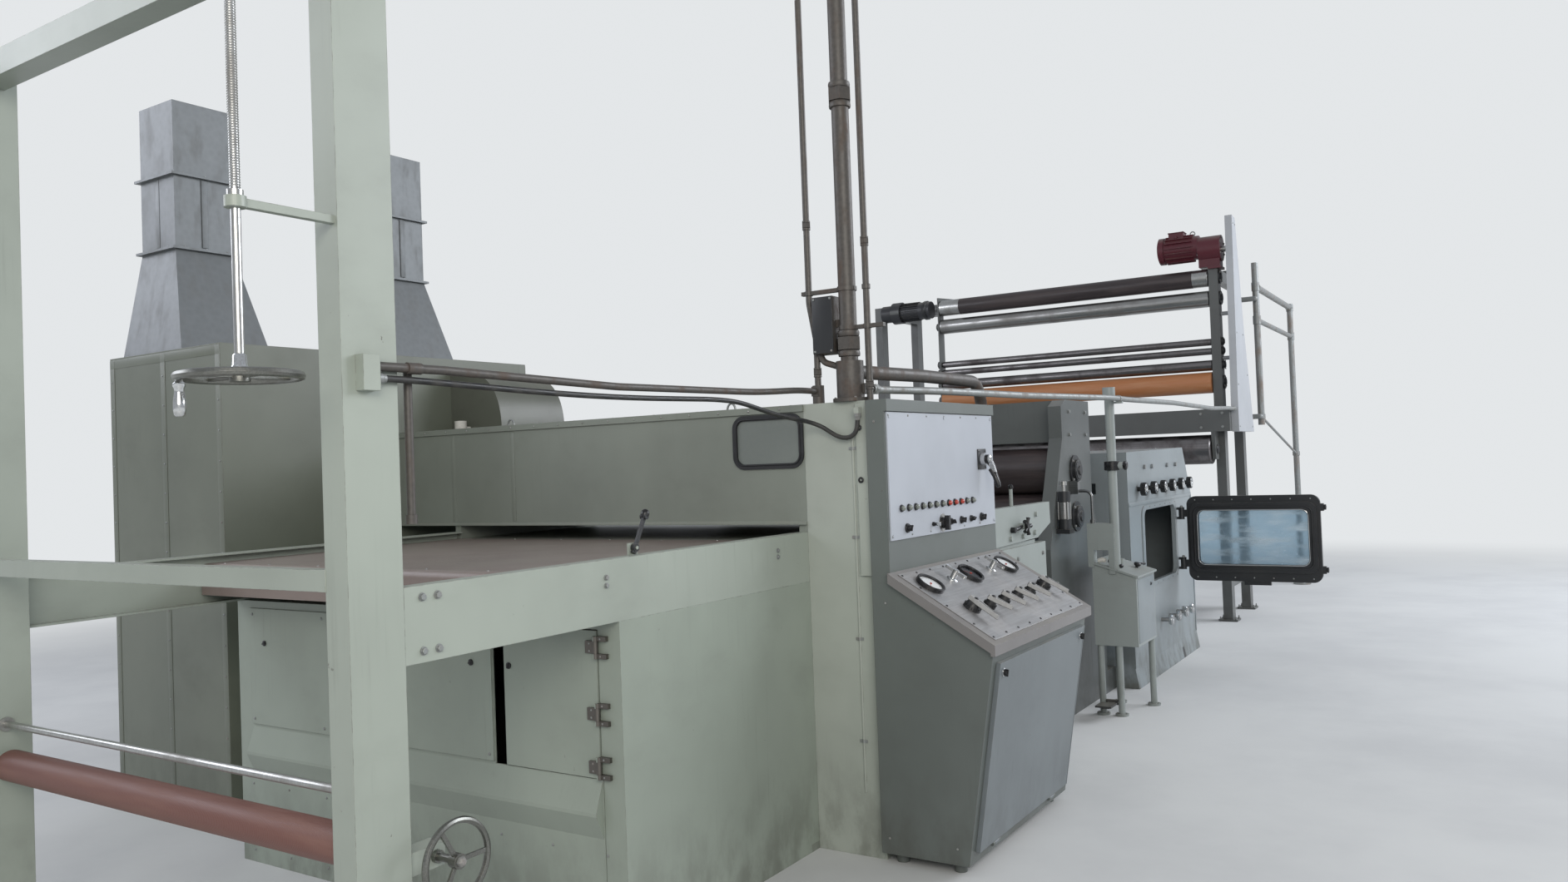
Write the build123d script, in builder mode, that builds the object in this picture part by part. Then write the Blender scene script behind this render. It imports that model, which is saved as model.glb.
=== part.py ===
from build123d import *
import os
from math import atan2, cos, degrees, radians, sin, tan

os.makedirs("parts", exist_ok=True)

# An open-width bleaching range. All sizes are millimetres.
# The origin is on the floor, on the cloth's centre line, in the plane of the chamber's front.
# +Y runs with the cloth, +X is the side on which the operator stands, +Z is up.

# Fits
run_gap = 0.1
side_gap = 0.3

# Entry frame: two box columns, a cross bar and a tie beam
frame_x = 1040
column_w = 88
column_d = 163
column_y = -2150
column_top = 3050
foot_t = 15
foot_margin = 40
anchor_r = 9
crossbar_z = 1302
crossbar_h = 55
crossbar_d = 40
tie_h = 90
rail_z = 757
rail_r = 12

# Entry roller and the wheel that adjusts it
guide_z = 620
guide_r = 52
guide_journal_r = 15
guide_end_gap = 32
journal_depth = 30
adjust_y = -1902
adjust_z = 562
adjust_wheel_x = 1110
adjust_wheel_r = 102
adjust_shaft_r = 11
bearing_w = 60

# Spindle with a flat handwheel, held in two eyes
spindle_y = -2400
spindle_r = 11
spindle_top = 3010
eye_z = (2190, 2900)
eye_r = 24
eye_h = 26
wheel_z = 1794
wheel_r = 128

# Table frame and table
beam_low = 1070
beam_high = 1270
beam_t = 8
beam_flange = 50
tie_w = 60
table_z = 1235
table_sheet = 6
table_front = -1330
table_nose_r = 30
table_lip_z = 1110
lever_y = -1048
lever_pin_r = 6

# Housing under the table
housing_y = -1166
housing_wall = 5
door_x = (464, 948)
door_z = (560, 1040)
door_gap = 4
panel_gap = 3
slot_w = 57
hinge_pin_r = 4
hinge_r = 9

# Chamber and its hood
chamber_d = 1000
chamber_wall = 40
sill_t = 30
sill_front = -60
slot_z = 1300
cheek_w = 40
hood_left = -1480
hood_top = 1787
hood_wall = 20
window_x = (700, 1026)
window_z = (1541, 1744)
window_r = 45
gasket_w = 11

# Exhaust plenum, ducts and the elbow from the plenum to the hood
plenum_x = -2440
plenum_y = (-950, 950)
plenum_top = 2200
plenum_wall = 6
duct_x = -2090
duct_ys = (-700, 500)
duct_foot = (520, 460)
duct_side = 300
duct_taper_h = 520
duct_top = 3450
duct_wall = 4
elbow_y = (380, 860)
elbow_r = 390

# Cable post and the conduits on it
post_x = 1345
post_d = 300
riser_y = 45
riser_top = 3450
riser_r = 35
thin_riser_r = 13
thin_riser_x = 1325
main_riser_x = 1238
left_riser_x = 1060
left_riser_foot_x = 1088
casting_r = 55
casting_top = 1950
spigot_x = 1285
spigot_y = {left_riser_foot_x: (19, riser_y), spigot_x: (riser_y, 112)}
pipe_z = 1838
branch_r = 28
branch_z = 1905
branch_y = 1160

# Console: a desk with a sloping slab and an upright switchboard
console_y = (-40, 1040)
console_wall = 4
console_foot_h = 40
board_x = 1425
board_top = 1785
desk_low_x = 1705
slab_back_z = 1117
slab_front_x = 1850
slab_front_z = 865
slab_lip_z = 825
slab_t = 34
slab_over = 25
desk_door_margin = 45
board_sheet = 6
board_z = (1237, 1735)
board_cap = 12
lamp_z = 1358
switch_z = 1278
stub_r = 6

# Squeezer and padder
squeeze_y = (1045, 1889)
squeeze_x = 1360
squeeze_low = 1088
squeeze_top = 1293
plate_t = 50
mangle_x = 1230
mangle_t = 80
mangle_y = 2815
mangle_r = 140
nip_z = 1305
mangle_journal_r = 45
mangle_flange_r = 92
mangle_hub = 30
mangle_top = 1870
sill_h = 140

# Pedestal
ped_x = (1351, 1605)
ped_y = (2700, 3100)
ped_low = 409
ped_high = (890, 813)
ped_leg_r = 19
pole_x = 1485
pole_y = 2730
pole_r = 27
pole_top = 1927
pedal_pin_z = 75
pedal_pin_r = 8
hand_top = 1128
hand_window_top = 970
hand_side = 36

# Washing compartment with its inspection door
wash_y = (3490, 5233)
wash_x = 1360
wash_top = 1560
wash_wall = 20
wash_slot_in = (1270, 1340)
wash_slot_out = (1100, 1170)
hatch_y = (3840, 4680)
hatch_z = (643, 1143)
hatch_r = 60
hatch_rim = 8
door_axis = (wash_x + 40, hatch_y[1] + 70)
door_w = 900
door_low = 575
door_high = 1195
door_t = 40
gasket_h = 18
door_corner_r = 62
pane_w = 740
pane_h = 390
pane_z = 893
pane_t = 8
pane_lap = 8
door_hinge_zs = (700, 1070)
door_pin_r = 10
door_knuckle_r = 21

# Roller tower
tower_x = 1360
leg_w = 80
leg_d = 120
tower_y = 6650
rear_y = 7500
leg_top = 3150
rear_top = 3245
left_leg_x = -2090
roller_y = 6710
hanger_x = -1361
hanger_t = 12
hanger_low = 1990
bearing_t = 30
tower_journal_r = 22
tower_ring_r = 62
tower_ring_h = 14
tower_rollers = {
    "top_drive_roller": (3080, 80),
    "upper_guide_roller": (2890, 74),
    "middle_roller_upper": (2500, 31),
    "middle_roller_lower": (2417, 31),
    "lower_guide_roller": (2290, 48),
    "rubber_roller": (2135, 95),
}
cross_y = (6470, 6650)
cross_z = (1690, 1890)
guard_x = (1440, 1500)
nip_y = 6560
nip_roller_z = 1535
nip_roller_r = 130
nip_plate_x = 1280
nip_plate_t = 30

# Exit frame of pipe
exit_x = 1510
exit_y = (7620, 9700)
exit_z = 3075
exit_r = 30


def block(x, y, z, mode=Mode.ADD):
    """A box from its two corners."""
    with Locations(((x[0] + x[1]) / 2, (y[0] + y[1]) / 2, (z[0] + z[1]) / 2)):
        Box(x[1] - x[0], y[1] - y[0], z[1] - z[0], mode=mode)


def bar(start, end, radius, mode=Mode.ADD):
    """A round bar along one of the three directions, from start to end."""
    spins = ((0, 90, 0), (90, 0, 0), (0, 0, 0))
    way = max(range(3), key=lambda i: abs(end[i] - start[i]))
    middle = tuple((start[i] + end[i]) / 2 for i in range(3))
    with Locations(middle):
        Cylinder(radius, abs(end[way] - start[way]), rotation=spins[way], mode=mode)


def slice_x(points, x, mode=Mode.ADD):
    """An outline of (y, z) points, extruded from one x to another."""
    with BuildSketch(Plane(origin=(x[0], 0, 0), x_dir=(0, 1, 0), z_dir=(1, 0, 0))) as outline:
        with BuildLine():
            Polyline(points, close=True)
        make_face()
    extrude(outline.sketch, amount=x[1] - x[0], mode=mode)


def slice_y(points, y, mode=Mode.ADD):
    """An outline of (x, z) points, extruded from one y to another."""
    with BuildSketch(Plane(origin=(0, y[1], 0), x_dir=(1, 0, 0), z_dir=(0, -1, 0))) as outline:
        with BuildLine():
            Polyline(points, close=True)
        make_face()
    extrude(outline.sketch, amount=y[1] - y[0], mode=mode)


def write(part, label):
    """Names a finished piece and writes its STEP file."""
    part.label = label
    export_step(part, f"parts/{label}.step")


def mirrored(x, side):
    """A pair of x values on the chosen side of the centre line, in rising order."""
    return tuple(sorted((side * x[0], side * x[1])))


def make_roller(label, y, z, face, tips, radius, journal_r):
    """A turned roller along X: its face between two ends, and a journal to each tip."""
    edge = radius * 0.06
    outline = [
        (tips[0], 0),
        (tips[0], journal_r),
        (face[0], journal_r),
        (face[0], radius - edge),
        (face[0] + edge, radius),
        (face[1] - edge, radius),
        (face[1], radius - edge),
        (face[1], journal_r),
        (tips[1], journal_r),
        (tips[1], 0),
    ]
    with BuildPart() as roller:
        with BuildSketch(Plane(origin=(0, y, z), x_dir=(1, 0, 0), z_dir=(0, -1, 0))):
            with BuildLine():
                Polyline(outline, close=True)
            make_face()
        revolve(axis=Axis((0, y, z), (1, 0, 0)))
    write(roller.part, label)


def wheel_rim(plane, rim_r, tube_r, spokes, hub_r, hub_h):
    """A handwheel's rim, spokes and hub, about the plane's own normal."""
    with BuildSketch(Plane(origin=plane.origin, x_dir=plane.x_dir, z_dir=plane.y_dir)) as ring:
        with Locations((rim_r, 0)):
            RegularPolygon(tube_r, 8)
    revolve(ring.sketch, axis=Axis(plane.origin, plane.z_dir))
    with Locations(plane):
        Cylinder(hub_r, hub_h)
        with PolarLocations(0, spokes):
            with Locations(((rim_r + hub_r * 0.6) / 2, 0, 0)):
                Box(rim_r - hub_r * 0.6, tube_r * 1.3, tube_r * 0.8)


# Entry frame
inner_x = frame_x - column_w
column_rear = column_y + column_d
column_mid_y = column_y + column_d / 2
spindle_x = frame_x - 20
with BuildPart() as portal_frame:
    for side in (-1, 1):
        x = mirrored((inner_x, frame_x), side)
        block(x, (column_y, column_rear), (foot_t, column_top))
        foot = (x[0] - foot_margin, x[1] + foot_margin)
        block(foot, (column_y - foot_margin, column_rear + foot_margin), (0, foot_t))
        with Locations((side * (inner_x + column_w / 2), column_mid_y, foot_t / 2)):
            with GridLocations(column_w + foot_margin, column_d + foot_margin, 2, 2):
                Cylinder(anchor_r, foot_t * 2, mode=Mode.SUBTRACT)
        deep = side * (inner_x + journal_depth)
        bore = ((side * (inner_x - 5), column_mid_y, guide_z), (deep, column_mid_y, guide_z))
        bar(*bore, guide_journal_r + run_gap, mode=Mode.SUBTRACT)
    cross_low = crossbar_z - crossbar_h / 2
    block((-inner_x, inner_x), (column_y, column_y + crossbar_d), (cross_low, cross_low + crossbar_h))
    block(
        (-inner_x, inner_x),
        (column_y + crossbar_d, column_rear - crossbar_d),
        (column_top - tie_h, column_top),
    )
    for z in eye_z:
        bar((spindle_x, spindle_y, z - eye_h / 2), (spindle_x, spindle_y, z + eye_h / 2), eye_r)
        block((spindle_x - 10, spindle_x + 10), (spindle_y, column_y), (z - 10, z + 10))
        bar(
            (spindle_x, spindle_y, z - eye_h),
            (spindle_x, spindle_y, z + eye_h),
            spindle_r + run_gap,
            mode=Mode.SUBTRACT,
        )
    bearing_x = (frame_x - bearing_w - 10, frame_x - 10)
    bearing_low = adjust_z - bearing_w / 2
    block(
        bearing_x,
        (column_rear, adjust_y + bearing_w / 2),
        (bearing_low, bearing_low + bearing_w),
    )
    bar(
        (bearing_x[0] - 5, adjust_y, adjust_z),
        (bearing_x[1] + 5, adjust_y, adjust_z),
        adjust_shaft_r + run_gap,
        mode=Mode.SUBTRACT,
    )
    cable_bracket_y = (column_y + 40, column_y + 90)
    block((frame_x, frame_x + 30), cable_bracket_y, (1770, 1860))
write(portal_frame.part, "portal_frame")

with BuildPart() as entry_rail:
    bar((-inner_x, column_mid_y, rail_z), (inner_x, column_mid_y, rail_z), rail_r)
    for side in (-1, 1):
        flange = (side * inner_x, side * (inner_x - 8))
        bar((flange[0], column_mid_y, rail_z), (flange[1], column_mid_y, rail_z), rail_r * 2)
write(entry_rail.part, "entry_rail")

guide_face = inner_x - guide_end_gap
guide_tip = inner_x + journal_depth - 1
make_roller(
    "entry_guide_roller",
    column_mid_y,
    guide_z,
    (-guide_face, guide_face),
    (-guide_tip, guide_tip),
    guide_r,
    guide_journal_r,
)

with BuildPart() as adjusting_handwheel:
    bar((bearing_x[0] - 16, adjust_y, adjust_z), (adjust_wheel_x, adjust_y, adjust_z), adjust_shaft_r)
    for start, end in (
        (bearing_x[0] - 14, bearing_x[0] - side_gap),
        (bearing_x[1] + side_gap, bearing_x[1] + 14),
    ):
        bar((start, adjust_y, adjust_z), (end, adjust_y, adjust_z), adjust_shaft_r + 6)
    wheel_plane = Plane(
        origin=(adjust_wheel_x, adjust_y, adjust_z), x_dir=(0, 1, 0), z_dir=(1, 0, 0)
    )
    wheel_rim(wheel_plane, adjust_wheel_r, 9, 3, 20, 26)
write(adjusting_handwheel.part, "adjusting_handwheel")

with BuildPart() as spindle_rod:
    bar((spindle_x, spindle_y, wheel_z + 13), (spindle_x, spindle_y, spindle_top), spindle_r)
    for z in eye_z:
        collar = z + eye_h / 2 + side_gap
        bar((spindle_x, spindle_y, collar), (spindle_x, spindle_y, collar + 14), spindle_r + 7)
write(spindle_rod.part, "spindle_rod")

with BuildPart() as spindle_handwheel:
    wheel_rim(Plane(origin=(spindle_x, spindle_y, wheel_z)), wheel_r, 10, 4, 22, 26)
    with Locations((spindle_x - wheel_r * 0.7, spindle_y - wheel_r * 0.7, wheel_z - 45)):
        Cylinder(9, 80)
write(spindle_handwheel.part, "spindle_handwheel")

# Table frame, table and its lever
web_x = frame_x - beam_t
tie_top = table_z - table_sheet
with BuildPart() as table_frame:
    for side in (-1, 1):
        x = mirrored((frame_x - beam_flange, frame_x), side)
        block(x, (column_rear, 0), (beam_low, beam_high))
        hollow = mirrored((frame_x - beam_flange - 1, web_x), side)
        block(
            hollow,
            (column_rear, 0),
            (beam_low + beam_t, beam_high - beam_t),
            mode=Mode.SUBTRACT,
        )
    for y in (table_front + 80, -200 - tie_w):
        block((-web_x, web_x), (y, y + tie_w), (tie_top - tie_w, tie_top))
    block((1000, 1008), (lever_y - 22, lever_y + 22), (beam_high, beam_high + 40))
    bar((1000, lever_y, beam_high + 24), (1027, lever_y, beam_high + 24), lever_pin_r)
write(table_frame.part, "table_frame")

table_x = web_x - 14
with BuildPart() as table_top:
    outline_plane = Plane(origin=(-table_x, 0, 0), x_dir=(0, 1, 0), z_dir=(1, 0, 0))
    with BuildSketch(outline_plane) as table_outline:
        with Locations((table_front / 2, (table_z + table_lip_z) / 2)):
            Rectangle(-table_front, table_z - table_lip_z)
        nose = table_outline.vertices().group_by(Axis.Y)[-1].sort_by(Axis.X)[0]
        fillet(nose, table_nose_r)
    extrude(amount=2 * table_x)
    with BuildSketch(outline_plane) as table_hollow:
        with Locations(((table_front + table_sheet) / 2, (tie_top + table_lip_z) / 2)):
            Rectangle(-table_front - table_sheet, tie_top - table_lip_z)
        nose = table_hollow.vertices().group_by(Axis.Y)[-1].sort_by(Axis.X)[0]
        fillet(nose, table_nose_r - table_sheet)
    extrude(amount=2 * table_x, mode=Mode.SUBTRACT)
    lip = (table_front + table_sheet, table_front + 26)
    block((-table_x, table_x), lip, (table_lip_z, table_lip_z + table_sheet))
write(table_top.part, "table_top")

with BuildPart() as table_lever:
    pivot = (1016, lever_y, beam_high + 24)
    with Locations(Plane(origin=pivot, x_dir=(0, 1, 0), z_dir=(1, 0, 0))):
        Cylinder(14, 15)
        with Locations(Location((0, 0, 0), (0, 0, 62))):
            with Locations((58, 0, 0)):
                Box(100, 12, 10)
            with Locations((-12, 0, 0)):
                Box(16, 16, 12)
            with Locations((112, 0, 0)):
                Cylinder(10, 24)
        Cylinder(lever_pin_r + run_gap, 40, mode=Mode.SUBTRACT)
write(table_lever.part, "table_lever")

# Housing under the table, with its hinged door
leaf_w = 44
hinge_zs = (600, 771, 985)
hinge_y = housing_y - 14
knuckle_h = 40
lug_h = 16
with BuildPart() as lower_housing:
    block((-frame_x, frame_x), (housing_y, 0), (0, beam_low))
    inside = frame_x - housing_wall
    block(
        (-inside, inside),
        (housing_y + housing_wall, 0),
        (0, beam_low - housing_wall),
        mode=Mode.SUBTRACT,
    )
    block((-frame_x, frame_x), (sill_front, 0), (0, sill_t), mode=Mode.SUBTRACT)
    block(door_x, (housing_y, housing_y + housing_wall), door_z, mode=Mode.SUBTRACT)
    block((-door_x[1], door_x[0] - 4), (housing_y - 6, housing_y), (door_z[0] + 8, door_z[1]))
    fold = [
        (housing_y, door_z[0] - 4),
        (housing_y - 34, door_z[0] - 100),
        (housing_y - 34, door_z[0] - 112),
        (housing_y, door_z[0] - 190),
    ]
    slice_x(fold, (-door_x[1], door_x[1]))
    gap_x = (door_x[1] + panel_gap, door_x[1] + 2 * panel_gap)
    block(gap_x, (housing_y, housing_y + panel_gap), (0, door_z[0]), mode=Mode.SUBTRACT)
    for z in hinge_zs:
        ends = (z - knuckle_h / 2 - lug_h, z + knuckle_h / 2 + lug_h)
        bar((door_x[1], hinge_y, ends[0]), (door_x[1], hinge_y, ends[1]), hinge_pin_r)
        for low in (ends[0], z + knuckle_h / 2 + side_gap):
            high = low + lug_h - side_gap
            bar((door_x[1], hinge_y, low), (door_x[1], hinge_y, high), hinge_r)
            block((door_x[1], door_x[1] + leaf_w), (hinge_y, housing_y), (low, high))
write(lower_housing.part, "lower_housing")

leaf_x = (door_x[0] + slot_w, door_x[1] - door_gap)
with BuildPart() as housing_door:
    door_front = housing_y - 4
    block(leaf_x, (door_front, door_front + 20), (door_z[0] + 3, door_z[1] - 3))
    for z in hinge_zs:
        low = (door_x[1], hinge_y, z - knuckle_h / 2)
        high = (door_x[1], hinge_y, z + knuckle_h / 2)
        bar(low, high, hinge_r)
        block((door_x[1] - leaf_w, door_x[1]), (hinge_y, hinge_y + 5), (low[2], high[2]))
        block((door_x[1] - leaf_w, leaf_x[1]), (hinge_y, door_front), (low[2], high[2]))
        bar(low, high, hinge_pin_r + run_gap, mode=Mode.SUBTRACT)
write(housing_door.part, "housing_door")

# Chamber base, hood and window
with BuildPart() as chamber_base:
    block((-frame_x, frame_x), (0, chamber_d), (0, table_z))
    block((-frame_x, frame_x), (sill_front, 0), (0, sill_t))
    inner = frame_x - chamber_wall
    block(
        (-inner, inner),
        (chamber_wall, chamber_d - chamber_wall),
        (0, table_z - chamber_wall),
        mode=Mode.SUBTRACT,
    )
    for side in (-1, 1):
        block(mirrored((frame_x - cheek_w, frame_x), side), (0, chamber_d), (table_z, slot_z))
write(chamber_base.part, "chamber_base")

window_mid = ((window_x[0] + window_x[1]) / 2, (window_z[0] + window_z[1]) / 2)
window_size = (window_x[1] - window_x[0], window_z[1] - window_z[0])
front_plane = Plane(origin=(0, 0, 0), x_dir=(1, 0, 0), z_dir=(0, -1, 0))
with BuildPart() as chamber_hood:
    block((hood_left, frame_x), (0, chamber_d), (slot_z, hood_top))
    block(
        (hood_left + hood_wall, frame_x - hood_wall),
        (hood_wall, chamber_d - hood_wall),
        (slot_z, hood_top - hood_wall),
        mode=Mode.SUBTRACT,
    )
    block((hood_left, frame_x), (-8, 0), (hood_top - 28, hood_top))
    slice_x([(0, slot_z), (-12, slot_z), (-12, slot_z + 5), (0, slot_z + 14)], (hood_left, frame_x))
    with BuildSketch(front_plane):
        with Locations(window_mid):
            RectangleRounded(*window_size, window_r)
    extrude(amount=-hood_wall, mode=Mode.SUBTRACT)
write(chamber_hood.part, "chamber_hood")

with BuildPart() as hood_window:
    with BuildSketch(front_plane):
        with Locations(window_mid):
            RectangleRounded(
                window_size[0] + 2 * gasket_w, window_size[1] + 2 * gasket_w, window_r + gasket_w
            )
            RectangleRounded(
                window_size[0] - 2 * gasket_w,
                window_size[1] - 2 * gasket_w,
                window_r - gasket_w,
                mode=Mode.SUBTRACT,
            )
    extrude(amount=7)
    with BuildSketch(front_plane):
        with Locations(window_mid):
            RectangleRounded(window_size[0] - 1, window_size[1] - 1, window_r - 0.5)
    extrude(amount=-8)
write(hood_window.part, "hood_window")

# Exhaust plenum, its two ducts, and the elbow down to the hood
with BuildPart() as exhaust_plenum:
    block((plenum_x, hood_left), plenum_y, (0, plenum_top))
    block(
        (plenum_x + plenum_wall, hood_left - plenum_wall),
        (plenum_y[0] + plenum_wall, plenum_y[1] - plenum_wall),
        (0, plenum_top - plenum_wall),
        mode=Mode.SUBTRACT,
    )
    for y in duct_ys:
        with Locations((duct_x, y, plenum_top)):
            Box(
                duct_side - 2 * duct_wall,
                duct_side - 2 * duct_wall,
                4 * plenum_wall,
                mode=Mode.SUBTRACT,
            )
write(exhaust_plenum.part, "exhaust_plenum")

taper_top = plenum_top + duct_taper_h
with BuildPart() as exhaust_ducts:
    for y in duct_ys:
        foot_plane = Plane(origin=(duct_x, y, plenum_top))
        neck_plane = Plane(origin=(duct_x - 60, y, taper_top))
        for shrink, mode in ((0, Mode.ADD), (2 * duct_wall, Mode.SUBTRACT)):
            with BuildSketch(foot_plane):
                Rectangle(duct_foot[0] - shrink, duct_foot[1] - shrink)
            with BuildSketch(neck_plane):
                Rectangle(duct_side - shrink, duct_side - shrink)
            loft(mode=mode)
            with BuildSketch(neck_plane):
                Rectangle(duct_side - shrink, duct_side - shrink)
            extrude(amount=duct_top - taper_top, mode=mode)
        for z in (taper_top, (taper_top + duct_top) / 2):
            with Locations((duct_x - 60, y, z)):
                Box(duct_side + 44, duct_side + 44, 12)
                Box(duct_side - 2 * duct_wall, duct_side - 2 * duct_wall, 14, mode=Mode.SUBTRACT)
write(exhaust_ducts.part, "exhaust_ducts")

with BuildPart() as exhaust_elbow:
    with BuildSketch(Plane(origin=(0, elbow_y[1], 0), x_dir=(1, 0, 0), z_dir=(0, -1, 0))):
        with BuildLine():
            low = (hood_left, hood_top)
            tip = (hood_left + elbow_r, hood_top)
            shoulder = (hood_left + 60, hood_top + elbow_r - 50)
            high = (hood_left, hood_top + elbow_r - 50)
            Line(low, tip)
            Spline(tip, shoulder, tangents=((0, 1), (-1, 0)))
            Line(shoulder, high)
            Line(high, low)
        make_face()
    extrude(amount=elbow_y[1] - elbow_y[0])
    with Locations((hood_left + 150, elbow_y[0] - 70, hood_top + 30)):
        Cylinder(32, 60)
    block((hood_left + 142, hood_left + 158), (elbow_y[0] - 70, elbow_y[0]), (hood_top, hood_top + 30))
write(exhaust_elbow.part, "exhaust_elbow")

# Cable post and the conduits that stand on it
strip_x = (post_x - 60, post_x)
strip_d = 14
with BuildPart() as cable_post:
    block((frame_x, post_x), (0, post_d), (0, hood_top))
    block(strip_x, (-strip_d, 0), (1100, hood_top - 10))
    for z in (1726, 1680, 1475):
        bar((strip_x[0] + 18, -strip_d - 3, z), (strip_x[0] + 18, -strip_d, z), 9)
    bar((strip_x[0] - 23, 0, 250), (strip_x[0] - 23, 0, 1640), 5)
    block((strip_x[0] + 8, strip_x[0] + 30), (-strip_d - 26, -strip_d), (1735, 1760))
write(cable_post.part, "cable_post")

with BuildPart() as conduit_bundle:
    bar((main_riser_x, riser_y, hood_top), (main_riser_x, riser_y, riser_top), riser_r)
    bar((main_riser_x, riser_y, hood_top), (main_riser_x, riser_y, casting_top), casting_r)
    bar((thin_riser_x, riser_y, hood_top), (thin_riser_x, riser_y, riser_top), thin_riser_r)
    with BuildLine() as jog:
        FilletPolyline(
            (left_riser_x, riser_y, riser_top),
            (left_riser_x, riser_y, 2200),
            (left_riser_foot_x, riser_y, 2040),
            (left_riser_foot_x, riser_y, hood_top),
            radius=150,
        )
    with BuildSketch(Plane(origin=(left_riser_x, riser_y, riser_top), z_dir=(0, 0, -1))):
        Circle(thin_riser_r)
    sweep(path=jog.wires()[0])
    with BuildLine() as link:
        FilletPolyline(
            (left_riser_foot_x, riser_y, 2030),
            (left_riser_foot_x + 30, riser_y, 1955),
            (main_riser_x, riser_y, 1915),
            radius=40,
        )
    with BuildSketch(link.line ^ 0):
        Circle(thin_riser_r)
    sweep(path=link.wires()[0])
    for z, x in ((2240, (left_riser_x - 30, main_riser_x + 40)), (2083, (main_riser_x, 1400))):
        block(x, (riser_y - 10, riser_y + 10), (z - 8, z + 8))
    block((left_riser_foot_x + 8, main_riser_x - 50), (riser_y - 38, riser_y + 38), (1985, 2215))
    block((left_riser_foot_x, main_riser_x), (riser_y - 6, riser_y + 6), (2090, 2120))
    bar((left_riser_foot_x, riser_y, hood_top), (left_riser_foot_x, riser_y, hood_top + 75), 24)
    for x in (left_riser_foot_x, spigot_x):
        block((x - 18, x + 18), spigot_y[x], (pipe_z - 20, pipe_z + 20))
    with BuildLine() as branch:
        FilletPolyline(
            (main_riser_x + 20, riser_y, branch_z),
            (squeeze_x - 30, 500, branch_z),
            (squeeze_x - 30, branch_y, branch_z),
            (squeeze_x - 30, branch_y, squeeze_top),
            radius=(120, 120),
        )
    with BuildSketch(branch.line ^ 0):
        Circle(branch_r)
    sweep(path=branch.wires()[0])
write(conduit_bundle.part, "conduit_bundle")

# Air pipe and supply pipe, both bent steel tube
air_r = 12
bracket_rear = cable_bracket_y[1]
bend_r = 1500


def arc_radii(points, largest):
    """Each corner's radius: 0.45 of its shorter run, over the tangent of half its turn."""
    radii = []
    for a, b, c in zip(points, points[1:], points[2:]):
        before = Vector(*b) - Vector(*a)
        after = Vector(*c) - Vector(*b)
        half_turn = radians(before.get_angle(after)) / 2
        radii.append(min(largest, 0.45 * min(before.length, after.length) / tan(half_turn)))
    return radii


air_route = [
    (frame_x + 13, bracket_rear, 1832),
    (frame_x + 13, -1850, 1832),
    (frame_x + 13, -1150, 1815),
    (frame_x + 14, -350, 1824),
    (left_riser_foot_x, -110, pipe_z),
    (left_riser_foot_x, spigot_y[left_riser_foot_x][0], pipe_z),
]
drip_x = frame_x - 12
drip_y = -1945
drip_low = 1430
with BuildPart() as air_pipe:
    with BuildLine() as route:
        FilletPolyline(*air_route, radius=arc_radii(air_route, bend_r))
    with BuildSketch(route.line ^ 0):
        Circle(air_r)
    sweep(path=route.wires()[0])
    bar((frame_x + 13, drip_y - 22, 1832), (frame_x + 13, drip_y + 22, 1832), air_r + 3)
    bar((drip_x, drip_y, 1832), (frame_x + 13, drip_y, 1832), air_r + 3)
    with Locations((drip_x, drip_y, 1832)):
        Sphere(air_r + 3)
    bar((drip_x, drip_y, drip_low), (drip_x, drip_y, 1832), air_r - 1)
    bar((drip_x, drip_y, drip_low), (drip_x, drip_y, drip_low + 24), air_r + 3)
write(air_pipe.part, "air_pipe")

supply_r = 16
saddle_x = pole_x + pole_r + 9 + supply_r + 4
saddle_z = 1858
guard_front = 6560
supply_route = [
    (spigot_x, spigot_y[spigot_x][1], pipe_z),
    (spigot_x, 240, pipe_z),
    (1385, 560, pipe_z),
    (1440, 1500, 1844),
    (saddle_x, 2550, saddle_z),
    (saddle_x, 2900, saddle_z),
    (1510, 4200, 1872),
    (1490, 5500, 1864),
    (1470, 6250, 1884),
    (1470, guard_front, 1884),
]
with BuildPart() as supply_pipe:
    with BuildLine() as route:
        FilletPolyline(*supply_route, radius=arc_radii(supply_route, bend_r))
    with BuildSketch(route.line ^ 0):
        Circle(supply_r)
    sweep(path=route.wires()[0])
write(supply_pipe.part, "supply_pipe")

# Cable from the bracket on the entry frame to the gland on the post, its points chosen by hand
cable_r = 9
cable_points = [
    (1054, -2060, 1802),
    (1054, -1960, 1802),
    (1054, -1760, 1795),
    (1053, -1520, 1787),
    (1052, -1280, 1782),
    (1051, -1040, 1782),
    (1051, -810, 1786),
    (1052, -610, 1790),
    (1054, -470, 1783),
    (1059, -360, 1762),
    (1066, -250, 1741),
    (1080, -150, 1726),
    (1106, -70, 1713),
    (1146, -35, 1692),
    (1188, -27, 1662),
    (1230, -27, 1642),
    (1274, -27, 1644),
    (1304, -27, 1676),
    (1304, -27, 1735),
]
cable_radii = arc_radii(cable_points, 100000)
print("cable radii", [round(radius) for radius in cable_radii])
with BuildPart() as signal_cable:
    with BuildLine() as route:
        FilletPolyline(*cable_points, radius=cable_radii)
    with BuildSketch(route.line ^ 0):
        Circle(cable_r)
    sweep(path=route.wires()[0])
print("cable length", round(route.wires()[0].length))
write(signal_cable.part, "signal_cable")

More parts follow.
